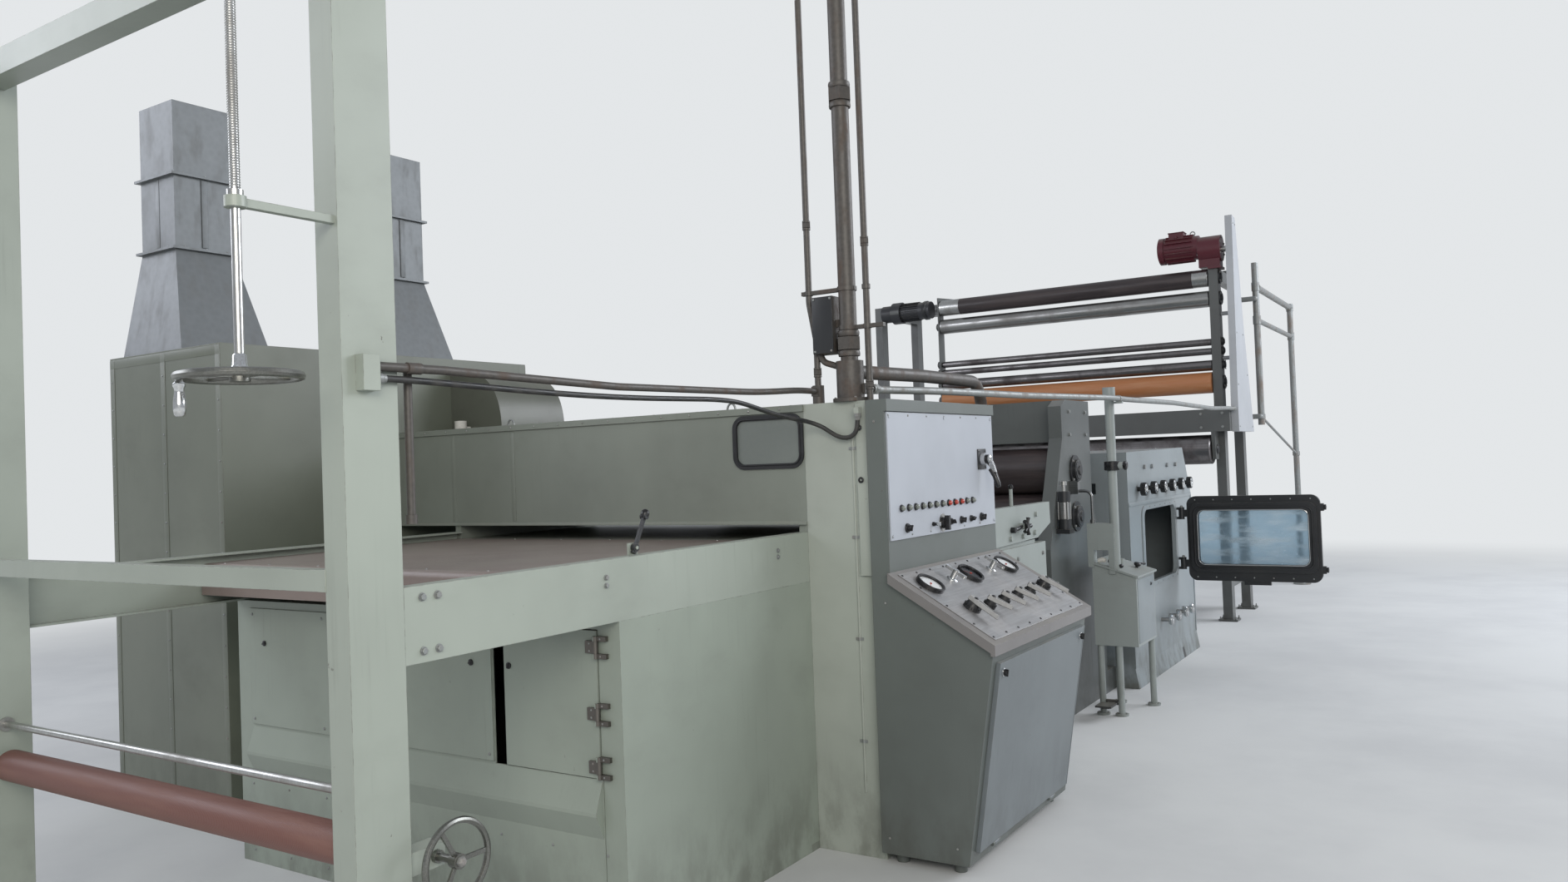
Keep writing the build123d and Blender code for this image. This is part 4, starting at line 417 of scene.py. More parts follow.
materials = {
    "sprayedEnamelColumn": [(sprayedEnamel, {"paint": 0xA3ABA1, "wear": 0.75})],
    "sprayedEnamelHousing": [
        (sprayedEnamel, housingPaint),
        (turnedSteel, hingeStock, inBox((949, None, 500), (None, -1166.5, None))),
    ],
    "sprayedEnamelServiceDoor": [
        (sprayedEnamel, housingPaint),
        (turnedSteel, hingeStock, inBox(high=(None, -1171, None))),
    ],
    # Partly painted shade: the hood's enamel is drawn darker than the housing's, for the shade on its front
    # as well as its stains
    "shadedEnamelHood": [(sprayedEnamel, {"paint": 0x868C83, "wear": 0.4, "dirt": 0.35})],
    "sprayedEnamelPlenum": [(sprayedEnamel, {"paint": 0x6F7468, "grime": 0x45463D, "dirt": 0.4})],
    "sprayedEnamelElbow": [
        (sprayedEnamel, {"paint": 0x61645A, "grime": 0x3E3C33, "dirt": 0.4}),
        (mouldedResin, {"resin": 0xD8D6CF, "haze": 0xA9A49A, "rough": 0.4}, inBox(high=(None, 372, None))),
    ],
    "sprayedEnamelPost": [(sprayedEnamel, {"paint": 0xA8AEA5})],
    # Painted shade: the console cabinet's enamel is drawn dark grey, for the shade on its side that faces
    # away from the light
    "shadedEnamelDesk": [(sprayedEnamel, {"paint": 0x666C69, "grime": 0x45443D, "wear": 0.7})],
    # Painted shade: the desk door's enamel and grime are drawn darker than the machine's pale grey-green,
    # for the shade on a front that faces the aisle and down
    "shadedEnamelDeskDoor": [
        (sprayedEnamel, {"paint": 0x757C7F, "grime": 0x55585A, "wear": 0.45, "dirt": 0.25}),
        (mouldedResin, {}, beyond(frontNormal, doorReach + 1.2)),
    ],
    "sprayedEnamelBoard": [
        (sprayedEnamel, {"paint": 0xB2B7BF, "grime": 0x8C8E92, "wear": 0.3, "dirt": 0.25, "corner": 1}),
    ],
    "sprayedEnamelSlab": [
        (sprayedEnamel, {"paint": 0x7F7C7B, "grime": 0x5A5653, "wear": 0.9, "dirt": 0.4}),
        (turnedSteel, sheetStock, beyond(slabNormal, deckReach - 0.5)),
        (turnedSteel, brightStock, beyond(slabNormal, deckReach + 0.6)),
    ],
    "sprayedEnamelPadder": [
        (sprayedEnamel, framePaint),
        (sprayedEnamel, cheekPaint, inBox((None, 2200, None))),
        (sprayedEnamel, blackPaint, inBox((1230.5, 2200, 1000), bothSides=True)),
    ],
    "sprayedEnamelPedestal": [(sprayedEnamel, {"paint": 0x9BA2A0, "wear": 0.7, "dirt": 0.3})],
    "sprayedEnamelWasher": [
        # The washer grows darker towards the bottom: its low darkening is raised to 0.8
        (sprayedEnamel, {"paint": 0x8E9699, "dirt": 0.32, "lowDarkening": 0.8}),
        (sprayedEnamel, blackPaint, inBox((1369, 4722, None), (None, 4778, None))),
    ],
    "sprayedEnamelTower": [
        (sprayedEnamel, {"paint": 0x5F6160, "grime": 0x37342F, "wear": 0.8, "dirt": 0.45}),
        (sprayedEnamel, drivePaint, inBox((-2009, 6600, 2960), (-1450, 6830, 3200))),
        (sprayedEnamel, blackPaint, inBox((1360.5, 6640, 1950), (1380, 6780, 3200))),
    ],
    "sprayedEnamelGuard": [(sprayedEnamel, {"paint": 0xBCBFC3, "grime": 0x85868A, "wear": 0.5})],
    "sprayedEnamelMotor": [
        (sprayedEnamel, {"paint": 0x5E2630, "grime": 0x2E1C1C, "chip": 0x7C716C, "dirt": 0.45}),
        (turnedSteel, brightStock, inBox((1395.5, None, None))),
    ],
    "sprayedEnamelBlack": [(sprayedEnamel, blackPaint)],
    "rolledSheetTable": [
        (sprayedEnamel, {"paint": 0x8D7F79, "grime": 0x5C4A44, "chip": 0xA8A39B, "wear": 0.9, "dirt": 0.5}),
    ],
    "brushedStainless": [(turnedSteel, {})],
    "turnedRollerSteel": [(turnedSteel, rollerStock)],
    "drawnBrightSteel": [(turnedSteel, brightStock)],
    "castWheelIron": [(turnedSteel, {"steel": 0x8C8D88, "tarnish": 0x4F4C46, "rough": (0.3, 0.55)})],
    "platedChrome": [(turnedSteel, chromeStock)],
    "cylinderTubes": [
        (sprayedEnamel, blackPaint),
        (turnedSteel, {"steel": 0xA9ABAC}, inBox((None, None, 1168.5), (None, 2600, 1265.5))),
        (turnedSteel, brightStock, inBox((None, None, 1328.5), (None, 2600, None))),
        (turnedSteel, {"steel": 0x8A8C8D, "tarnish": 0x55524D}, inBox((None, 2650, None))),
    ],
    "dippedZincBolts": [(dippedZinc, {"zinc": 0x8C8F8D, "bloom": 0.35, "spangle": 6})],
    "dippedZincDuct": [(dippedZinc, ductSkin)],
    "dippedZincSupply": [(dippedZinc, {"zinc": 0x8A8D8B, "rust": 0x6A5340, "bloom": 0.35})],
    "paintedPipe": [(dippedZinc, pipeSkin)],
    "dippedZincExit": [(dippedZinc, {"zinc": 0x878A89, "rust": 0x77583D, "bloom": 0.5})],
    "groundBrownRubber": [
        (groundRubber, {"rubber": 0x6E473E, "chalk": 0x8E6F64, "groove": 6, "rough": 0.55}),
        (turnedSteel, brightStock, inBox((919.8, None, None), bothSides=True)),
    ],
    "groundOrangeRubber": [
        (groundRubber, {"rubber": 0xB5764A, "chalk": 0xC79A78, "groove": 4, "rough": 0.5}),
        (turnedSteel, brightStock, inBox((1272.2, None, None))),
    ],
    "groundDarkRubber": [
        (groundRubber, {"rubber": 0x3A3334, "chalk": 0x5A4E4C, "groove": 8, "rough": 0.4}),
        (turnedSteel, brightStock, inBox((1138.2, None, None), bothSides=True)),
    ],
    "mouldedBlackRubber": [(groundRubber, {})],
    "extrudedSheath": [(groundRubber, {"rubber": 0x1E1F20, "chalk": 0x55534F, "rough": 0.45})],
    "gasketAndHoodPane": [
        (groundRubber, {}),
        (mouldedResin, {"resin": 0x747A76, "haze": 0x7A807B, "rough": 0.3}, inBox((None, -0.25, None))),
    ],
    "mouldedBakelite": [(mouldedResin, {})],
    "mouldedWhite": [(mouldedResin, {"resin": 0xD8D6CF, "haze": 0xA9A49A, "rough": 0.4})],
    "leverResins": [(mouldedResin, {}), (mouldedResin, resinPointer, beyond(slabNormal, deckReach + 28.5))],
    "switchArmAndGrip": [
        (mouldedResin, {}),
        (turnedSteel, {"steel": 0xC9CBCC, "rough": (0.16, 0.3)}, inBox((1470, None, 1478))),
    ],
    "valveKnobResin": [
        (mouldedResin, {"rough": 0.3}),
        (turnedSteel, {"steel": 0xB9BABA}, inBox(high=(None, None, 600))),
        (dippedZinc, {}, inBox((None, None, 1400))),
    ],
    "printedDial": [(mouldedResin, {"resin": 0xDDDFE0, "haze": 0xC9C8C2, "rough": 0.3})],
    "printedDarkDial": [(mouldedResin, {"resin": 0x1B1C20, "haze": 0x303238, "rough": 0.2})],
    # The line colours of the lamp caps are painted highlights along their ribs
    "clearAcrylic": [(ribbedAcrylic, {"tint": 0x5F645E, "line": 0x8C918A, "rib": 2.2})],
    "redAcrylic": [(ribbedAcrylic, {"tint": 0x8E2018, "line": 0xC74A35, "rib": 2.2})],
    "toughenedPane": [(toughenedGlass, {"tint": 0xA9C3D4, "film": 0.55})],
}
fixedValues = {
    "clearAcrylic": {"Coat Weight": 0.6},
    "redAcrylic": {"Coat Weight": 0.6},
    "toughenedPane": {"Transmission Weight": 0.75, "IOR": 1.5},
}
cornerRadius = {"Enamel": 2.0, "turned": 0.8, "drawn": 0.8}


def makeMaterial(name, layers):
    material = bpy.data.materials.new(name)
    material.use_nodes = True
    tree = material.node_tree
    shader = tree.nodes["Principled BSDF"]
    surface = None
    for finish, values, *mask in layers:
        layer = finish(tree, values)
        if mask:
            share = mask[0](tree)
            pairs = zip(("RGBA", "FLOAT", "FLOAT", "FLOAT"), surface, layer)
            layer = [
                under if under == over else addNode(tree, "Mix", [share, under, over], data_type=kind)
                for kind, under, over in pairs
            ]
        surface = layer
    colour, rough, metal, relief = surface
    radius = next((size for word, size in cornerRadius.items() if word in name), 1.0)
    rounded = addNode(tree, "Bevel", {"Radius": radius * mm}, samples=4)
    bump = addNode(tree, "Bump", {"Height": relief, "Distance": mm, "Normal": rounded})
    found = {"Base Color": colour, "Roughness": rough, "Metallic": metal, "Normal": bump}
    for socket, value in found.items():
        if isinstance(value, bpy.types.Node):
            tree.links.new(next(output for output in value.outputs if output.enabled), shader.inputs[socket])
        else:
            shader.inputs[socket].default_value = value
    for socket, value in fixedValues.get(name, {}).items():
        shader.inputs[socket].default_value = value
    return material


looks = {name: makeMaterial(name, layers) for name, layers in materials.items()}

# Which nodes of the model carry each material
nodesOfLook = {
    "sprayedEnamelColumn": "portal_frame table_frame",
    "drawnBrightSteel": "entry_rail spindle_rod",
    "groundBrownRubber": "entry_guide_roller",
    "castWheelIron": "adjusting_handwheel spindle_handwheel",
    "rolledSheetTable": "table_top",
    "sprayedEnamelBlack": "table_lever foot_pedal inspection_door",
    "sprayedEnamelHousing": "lower_housing",
    "sprayedEnamelServiceDoor": "housing_door",
    "shadedEnamelHood": "chamber_base chamber_hood",
    "gasketAndHoodPane": "hood_window",
    "sprayedEnamelPlenum": "exhaust_plenum",
    "dippedZincDuct": "exhaust_ducts",
    "sprayedEnamelElbow": "exhaust_elbow",
    "sprayedEnamelPost": "cable_post",
    "paintedPipe": "conduit_bundle air_pipe",
    "dippedZincSupply": "supply_pipe",
    "shadedEnamelDesk": "console_cabinet",
    "sprayedEnamelSlab": "desk_top_plate",
    "shadedEnamelDeskDoor": "desk_door",
    "sprayedEnamelBoard": "instrument_panel",
    "switchArmAndGrip": "main_switch_lever",
    "mouldedBakelite": "selector_knob panel_switches meter_cases",
    "clearAcrylic": "indicator_lamps",
    "platedChrome": "regulator_cock_left regulator_cock_right",
    "sprayedEnamelPadder": "padder_frame",
    "groundDarkRubber": "padder_lower_roller padder_upper_roller top_drive_roller",
    "cylinderTubes": "padder_cylinders",
    "sprayedEnamelPedestal": "pedestal_stand",
    "sprayedEnamelWasher": "washer_tank",
    "valveKnobResin": "washer_valve_knobs",
    "toughenedPane": "inspection_pane",
    "sprayedEnamelTower": "tower_frame",
    "sprayedEnamelGuard": "drive_guard",
    "sprayedEnamelMotor": "gearmotor",
    "brushedStainless": "upper_guide_roller",
    "turnedRollerSteel": "middle_roller_upper middle_roller_lower lower_guide_roller bottom_nip_roller",
    "groundOrangeRubber": "rubber_roller",
    "dippedZincExit": "exit_pipe_frame",
    "extrudedSheath": "signal_cable",
}
nodeLooks = {name: look for look, names in nodesOfLook.items() for name in names.split()}
nodeLooks |= {f"desk_lever_{number}": "leverResins" for number in range(1, 7)}
for name, piece in nodes.items():
    piece.data.materials.clear()
    piece.data.materials.append(looks[nodeLooks[name]])
signalCable.data.materials.append(looks["extrudedSheath"])
print("materials ready:", len(looks))


# Places and pieces are in millimetres, and makePiece scales them.


# A frame whose Z is the given normal, turned about it by spin
def frameTo(spot, normal, spin=0.0):
    turn = Vector(normal).normalized().to_track_quat("Z", "Y").to_matrix().to_4x4()
    return Matrix.Translation(spot) @ turn @ Matrix.Rotation(spin, 4, "Z")


# Frames along a line, each turned a little further, as screws are left
def rowOf(start, end, count, normal):
    start = Vector(start)
    end = Vector(end)
    return [frameTo(start.lerp(end, step / max(count - 1, 1)), normal, 1.7 * step) for step in range(count)]


# The same row at each of several values along one axis, 0 being X
def rowsAt(axis, values, start, end, count, normal):
    places = []
    for value in values:
        ends = [Vector(start), Vector(end)]
        for spot in ends:
            spot[axis] = value
        places += rowOf(*ends, count, normal)
    return places


# A place moved along its own axes
def moved(place, x=0.0, y=0.0, z=0.0):
    return place @ Matrix.Translation((x, y, z))


# Frames turned about a place's own Z, each moved out along its own axes
def spokes(place, count, *reach):
    return [moved(place @ Matrix.Rotation(math.tau * step / count, 4, "Z"), *reach) for step in range(count)]


# Frames round a circle about a normal, facing along it
def ringOf(middle, normal, radius, count):
    base = frameTo(middle, normal)
    places = []
    for step in range(count):
        angle = math.tau * (step + 0.5) / count
        spot = base @ Vector((radius * math.cos(angle), radius * math.sin(angle), 0))
        places.append(frameTo(spot, normal, 1.3 * step))
    return places


# Points round a rectangle with rounded corners that stands across the line
def roundedLoop(middle, half, corner):
    points = []
    for index, (sideX, sideZ) in enumerate(((1, 1), (-1, 1), (-1, -1), (1, -1))):
        for step in range(7):
            angle = math.radians(90 * index + 15 * step)
            x = sideX * (half[0] - corner) + corner * math.cos(angle)
            z = sideZ * (half[1] - corner) + corner * math.sin(angle)
            points.append(Vector(middle) + Vector((x, 0, z)))
    return points


# The slot that a look always has, unless a piece names another
slotOf = {"mouldedBakelite": "bakelite", "platedChrome": "chrome", "mouldedBlackRubber": "black_rubber"}
sharpAngle = math.radians(35)


# One piece that build(shape) fills, with its material and the body it rides on; its slot is looked up but
# not set
def makePiece(name, build, look, body="root", slot=None):
    data = bpy.data.meshes.new(name)
    shape = bmesh.new()
    build(shape)
    bmesh.ops.scale(shape, vec=(mm, mm, mm), verts=shape.verts)
    bmesh.ops.recalc_face_normals(shape, faces=shape.faces)
    shape.to_mesh(data)
    shape.free()
    data.polygons.foreach_set("use_smooth", [True] * len(data.polygons))
    data.set_sharp_from_angle(angle=sharpAngle)
    piece = bpy.data.objects.new(name, data)
    bpy.context.scene.collection.objects.link(piece)
    data.materials.append(looks[look])
    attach(piece, body)
    slot = slot or slotOf.get(look)


# One piece that holds many like small parts, one at each place. Most are zinc-plated fasteners.
def scatter(name, places, build, look="dippedZincBolts", body="root", slot=None):
    def fill(shape):
        for place in [places] if isinstance(places, Matrix) else places:
            build(shape, place)

    makePiece(name, fill, look, body, slot)


# Turns an outline of radius and height about the Z of a place
def turned(shape, outline, place, sides=24):
    rings = []
    for radius, height in outline:
        count = sides if radius else 1
        angles = [math.tau * step / sides for step in range(count)]
        spots = [Vector((radius * math.cos(angle), radius * math.sin(angle), height)) for angle in angles]
        rings.append([shape.verts.new(place @ spot) for spot in spots])
    for lower, upper in zip(rings, rings[1:]):
        for step in range(sides):
            after = (step + 1) % sides
            corners = [lower[step % len(lower)], lower[after % len(lower)]]
            corners += [upper[after % len(upper)], upper[step % len(upper)]]
            corners = list(dict.fromkeys(corners))
            if len(corners) > 2:
                shape.faces.new(corners)


# A block with rounded edges, centred on a place or a point
def block(shape, size, place, rounding=0.0):
    if not isinstance(place, Matrix):
        place = Matrix.Translation(place)
    made = bmesh.ops.create_cube(shape, size=1, matrix=place @ Matrix.Diagonal((*size, 1)))
    if rounding:
        edges = list(dict.fromkeys(edge for vert in made["verts"] for edge in vert.link_edges))
        bmesh.ops.bevel(shape, geom=edges, offset=rounding, segments=2, profile=0.6, affect="EDGES")


# A round tube through points, with one radius or one for each point
def tubeAlong(shape, points, radii, sides=10, closed=False):
    points = [Vector(point) for point in points]
    radii = radii if isinstance(radii, (list, tuple)) else [radii] * len(points)
    rings = []
    side = None
    for index, point in enumerate(points):
        before = points[index - 1] if index or closed else point
        after = points[(index + 1) % len(points)] if closed or index < len(points) - 1 else point
        way = (after - before).normalized()
        side = way.orthogonal() if side is None else side
        side = (side - way * side.dot(way)).normalized()
        other = way.cross(side)
        ring = []
        for step in range(sides):
            angle = math.tau * step / sides
            reach = side * math.cos(angle) + other * math.sin(angle)
            ring.append(shape.verts.new(point + reach * radii[index]))
        rings.append(ring)
    pairs = list(zip(rings, rings[1:]))
    if closed:
        pairs.append((rings[-1], rings[0]))
    for lower, upper in pairs:
        for step in range(sides):
            after = (step + 1) % sides
            shape.faces.new([lower[step], lower[after], upper[after], upper[step]])
    if not closed:
        shape.faces.new(rings[0])
        shape.faces.new(rings[-1])


# A hexagon head on its washer, with the end of its stud where a length is given
def boltOf(size, stud=0.0):
    def build(shape, place):
        washer = size * 1.05
        sheet = size * 0.16
        turned(shape, [(0, 0), (washer, 0), (washer, sheet), (0, sheet)], place, 20)
        top = moved(place, z=sheet)
        across = size * 0.84
        head = size * 0.65
        turned(shape, [(across, 0), (across, head * 0.86), (across * 0.86, head), (0, head)], top, 6)
        if stud:
            end = stud + 1
            radius = size * 0.46
            turned(shape, [(radius, head), (radius, stud), (radius * 0.8, end), (0, end)], top, 12)

    return build


# A slotted pan-head screw
def screwOf(radius):
    def build(shape, place):
        outline = [(radius, 0), (radius * 0.96, radius * 0.3), (radius * 0.72, radius * 0.52)]
        turned(shape, [*outline, (radius * 0.3, radius * 0.6), (0, radius * 0.6)], place, 14)
        block(shape, (radius * 1.5, radius * 0.22, radius * 0.12), moved(place, z=radius * 0.56))

    return build


def turnedOf(outline, sides=24):
    return lambda shape, place: turned(shape, outline, place, sides)


def blockOf(size, rounding):
    return lambda shape, place: block(shape, size, place, rounding)


# A quarter-turn lock with its raised bar
turnLock = {"disc": [(0, 0), (11, 0), (11, 4), (9.5, 5), (0, 5)], "bar": (17, 5, 5), "barLift": 6.5}


def quarterTurn(shape, place):
    turned(shape, turnLock["disc"], place)
    block(shape, turnLock["bar"], moved(place, z=turnLock["barLift"]), 1)


# Weld beads: tubes that swell with each puddle of the arc
def weldAlong(name, loops, radius, look):
    def fill(shape):
        for points in loops:
            path = []
            radii = []
            for start, end in zip(points, points[1:]):
                start = Vector(start)
                end = Vector(end)
                steps = max(2, int((end - start).length / 5))
                for step in range(steps):
                    spot = start.lerp(end, step / steps)
                    path.append(spot)
                    puddle = 0.16 * math.sin(len(path) * 1.9) + 0.1 * noise.noise(spot * 0.06)
                    radii.append(radius * (1 + puddle))
            tubeAlong(shape, path, radii, 8)

    makePiece(name, fill, look)


# Entry frame: what holds its columns down, and its welds
entryFrame = {
    "column": (952, 1040),
    "depth": (-2150, -1987),
    "footTop": 15,
    "anchorSpread": (64, 101.5),
    "anchorNut": 13,
    "anchorStud": 26,
    "crossbar": (1274.5, 1329.5),
    "crossbarDepth": 40,
    "weld": 3.5,
}


def dressEntryFrame():
    inner, outer = entryFrame["column"]
    front, back = entryFrame["depth"]
    foot = entryFrame["footTop"]
    reach, spread = entryFrame["anchorSpread"]
    anchors = []
    feet = []
    joints = []
    for side in (-1, 1):
        for dx in (-reach, reach):
            start = (side * (inner + outer) / 2 + dx, (front + back) / 2 - spread, foot)
            anchors += rowOf(start, (start[0], start[1] + 2 * spread, foot), 2, axisZ)
        near = side * inner
        far = side * outer
        corners = ((near, front), (far, front), (far, back), (near, back), (near, front))
        feet.append([(x, y, foot) for x, y in corners])
        low, high = entryFrame["crossbar"]
        rise = [(near, front, low), (near, front, high), (near, front + entryFrame["crossbarDepth"], high)]
        joints.append(rise)
    bolt = boltOf(entryFrame["anchorNut"], entryFrame["anchorStud"])
    scatter("anchorNuts", anchors, bolt)
    weldAlong("footWelds", feet, entryFrame["weld"], "sprayedEnamelColumn")
    weldAlong("crossbarWelds", joints, entryFrame["weld"] - 0.5, "sprayedEnamelColumn")


# Spindle: its thread, the grip on its wheel and the sleeve over the hub
spindle = {
    "axis": (1020, -2400),
    "thread": (2222, 2872),
    "radius": 11,
    "pitch": 6,
    "depth": 1.3,
    "flank": 0.45,
    "sides": 14,
    "wheel": 1794,
    "gripReach": 89.6,
    "gripDrop": 88,
    "hubRise": 13,
    "gripEnd": [(0, 0), (8, 0), (11.5, 4), (13.5, 16), (13, 34)],
    "gripNeck": [(10.6, 52), (10.2, 62), (13.5, 68), (13.5, 74), (9.2, 78)],
    "sleeve": [(11.2, 0), (20, 0), (20, 6), (16, 12), (15, 34), (12, 38), (11.2, 38)],
}


def dressSpindle():
    x, y = spindle["axis"]
    low, high = spindle["thread"]
    pitch = spindle["pitch"]
    root = spindle["radius"]

    def thread(shape):
        turn = spindle["sides"]
        flank = spindle["flank"]
        rows = []
        for step in range(int((high - low) / pitch) * turn + 1):
            angle = math.tau * step / turn
            row = []
            for radius, rise in ((root, -flank), (root + spindle["depth"], 0), (root, flank)):
                z = low + pitch * (step / turn + rise)
                row.append(shape.verts.new((x + radius * math.cos(angle), y + radius * math.sin(angle), z)))
            rows.append(row)
        for first, second in zip(rows, rows[1:]):
            for edge in (0, 1):
                shape.faces.new([first[edge], second[edge], second[edge + 1], first[edge + 1]])

    makePiece("spindleThread", thread, "drawnBrightSteel", "spindle", "bright_steel")
    reach = spindle["gripReach"]
    wheel = spindle["wheel"]
    spot = frameTo((x - reach, y - reach, wheel - spindle["gripDrop"]), axisZ)
    grip = turnedOf(spindle["gripEnd"] + spindle["gripNeck"], 28)
    scatter("wheelGrip", spot, grip, "platedChrome", "spindle")
    hub = frameTo((x, y, wheel + spindle["hubRise"]), axisZ)
    scatter("wheelHubSleeve", hub, turnedOf(spindle["sleeve"]), "platedChrome", "spindle")


# Guide roller's adjusting wheel: the nut on its hub
adjuster = {"hub": (1110, -1902, 562), "nut": [(0, 27), (7, 27), (11, 24), (14, 20), (14, 12.5), (12, 12)]}


def dressAdjuster():
    hub = frameTo(adjuster["hub"], axisX)
    nut = turnedOf(adjuster["nut"], 6)
    scatter("adjusterHubNut", hub, nut, "dippedZincBolts", "adjusting_wheel", "bright_steel")


# Table: its bolts and rivets, and the knob on its lever
table = {
    "side": 1040,
    "bolts": (
        ("tieBolts", (-1220, -230), (1190, 1215), 9),
        ("beamBolts", (-1930, -1880), (1100, 1240), 11),
    ),
    "rivetRows": (-1300, -20),
    "rivets": ((-900, 0, 1235), (900, 0, 1235), 7),
    "pin": (1016, -1048, 1294),
    "leverLength": 112,
    "leverTilt": 62,
    "knob": [(0, -8), (6, -8), (9, -6), (12.5, 0), (14.5, 9), (13.5, 17), (9, 23), (0, 25)],
}


def dressTable():
    for name, places, heights, size in table["bolts"]:
        pairs = []
        for side in (-1, 1):
            start, end = [(side * table["side"], 0, z) for z in heights]
            pairs += rowsAt(1, places, start, end, 2, (side, 0, 0))
        scatter(name, pairs, boltOf(size))
    rivets = rowsAt(1, table["rivetRows"], *table["rivets"], axisZ)
    scatter("tableRivets", rivets, screwOf(5), "brushedStainless")
    tilt = math.radians(table["leverTilt"])
    way = Vector((0, math.cos(tilt), math.sin(tilt)))
    tip = frameTo(Vector(table["pin"]) + way * table["leverLength"], way)
    scatter("leverKnob", tip, turnedOf(table["knob"]), "mouldedBakelite", "lever")


# Housing under the table: its screws, locks and the screws of its three hinges
housing = {
    "face": -1172,
    "doorFace": -1170,
    "panelScrews": ((-930, -1172, 0), (440, -1172, 0), 4),
    "panelRows": (590, 1015),
    "locks": ((362, 900), (-850, 900)),
    "doorLock": (545, 900),
    "hinges": (600, 771, 985),
    "hingeFace": -1180,
    "leaves": (("hingeScrews", 922, 12, "service_door"), ("hingeFrameScrews", 968, 28, "root")),
    "skirtRows": (320, 50),
    "skirt": ((-960, -1166, 0), (960, -1166, 0), 9),
}


def dressHousing():
    panel = rowsAt(2, housing["panelRows"], *housing["panelScrews"], -axisY)
    scatter("panelScrews", panel, screwOf(6))
    locks = [frameTo((x, housing["face"], z), -axisY, 0.3) for x, z in housing["locks"]]
    scatter("panelLocks", locks, quarterTurn, "mouldedBakelite")
    x, z = housing["doorLock"]
    lock = frameTo((x, housing["doorFace"], z), -axisY, 1.2)
    scatter("doorLock", lock, quarterTurn, "mouldedBakelite", "service_door")
    for name, x, reach, body in housing["leaves"]:
        screws = []
        for z in housing["hinges"]:
            ends = [(x, housing["hingeFace"], z + rise) for rise in (-reach, reach)]
            screws += rowOf(*ends, 2, -axisY)
        scatter(name, screws, screwOf(3.5), body=body)
    scatter("skirtScrews", rowsAt(2, housing["skirtRows"], *housing["skirt"], -axisY), screwOf(5))


# Chamber hood: screws of its lip and roof, the bead round its window, cover strips and lifting eyes
hood = {
    "lip": ((-1395, -8, 1773), (930, -8, 1773), 16),
    "roofRows": (30, 970),
    "top": 1787,
    "roof": ((-1200, 0, 1787), (960, 0, 1787), 10),
    "window": (863, -7.5, 1642.5),
    "beadHalf": (157, 95.5),
    "beadCorner": 38,
    "bead": 3.2,
    "strips": (-1040, -620),
    "strip": (26, 1.4, 430),
    "stripHeight": 1535,
    "roofStrip": (26, 960, 1.4),
    "roofStripSpot": (-200, 500),
    "eyes": ((600, 120), (600, 880), (-750, 120), (-750, 880)),
    "eyeRadius": 22,
    "eyeRise": 34,
    "eyeBar": 5,
}


def dressHood():
    scatter("lipScrews", rowOf(*hood["lip"], -axisY), screwOf(4.5), "brushedStainless")
    roof = rowsAt(1, hood["roofRows"], *hood["roof"], axisZ)
    scatter("roofScrews", roof, screwOf(5), "brushedStainless")
    top = hood["top"]

    def bead(shape):
        loop = roundedLoop(hood["window"], hood["beadHalf"], hood["beadCorner"])
        tubeAlong(shape, loop, hood["bead"], 10, closed=True)

    makePiece("gasketBead", bead, "mouldedBlackRubber")

    def strips(shape):
        lift = hood["strip"][1] / 2
        for x in hood["strips"]:
            block(shape, hood["strip"], (x, -lift, hood["stripHeight"]), 0.5)
        block(shape, hood["roofStrip"], (*hood["roofStripSpot"], top + lift), 0.5)

    makePiece("hoodStrips", strips, "shadedEnamelHood")

    def eyes(shape):
        radius = hood["eyeRadius"]
        for x, y in hood["eyes"]:
            bow = []
            for step in range(13):
                turn = math.pi * step / 12
                bow.append((x + radius * math.cos(turn), y, top + hood["eyeRise"] * math.sin(turn)))
            tubeAlong(shape, bow, hood["eyeBar"])

    makePiece("liftingEyes", eyes, "dippedZincBolts")


# Exhaust plenum: riveted cover strips, and the bolts and stiffeners of its two ducts
plenum = {
    "low": (-2440, -950, 0),
    "high": (-1480, 950, 2200),
    "strip": 40,
    "sheet": 2,
    "inset": 20,
    "stripLift": 0.8,
    "band": 44,
    "bandEnd": 5,
    "bandLift": 0.5,
    "rivetPitch": 140,
    "rivetEnd": 120,
    "rivetLift": 1.8,
    "rivet": [(5, 0), (4.6, 1.6), (3, 2.9), (0, 3.4)],
    "endStrips": (-470, 0, 470),
    "bands": (40, 1100, 2170),
    "ducts": ((-2150, -700), (-2150, 500)),
    "ductFlanges": (2726, 3091),
    "ductHalf": 161,
    "ductBolts": 110,
    "stiffener": (2905, 340),
    "stiffenerWidth": 30,
    "stiffenerInset": (7, 10.5),
}


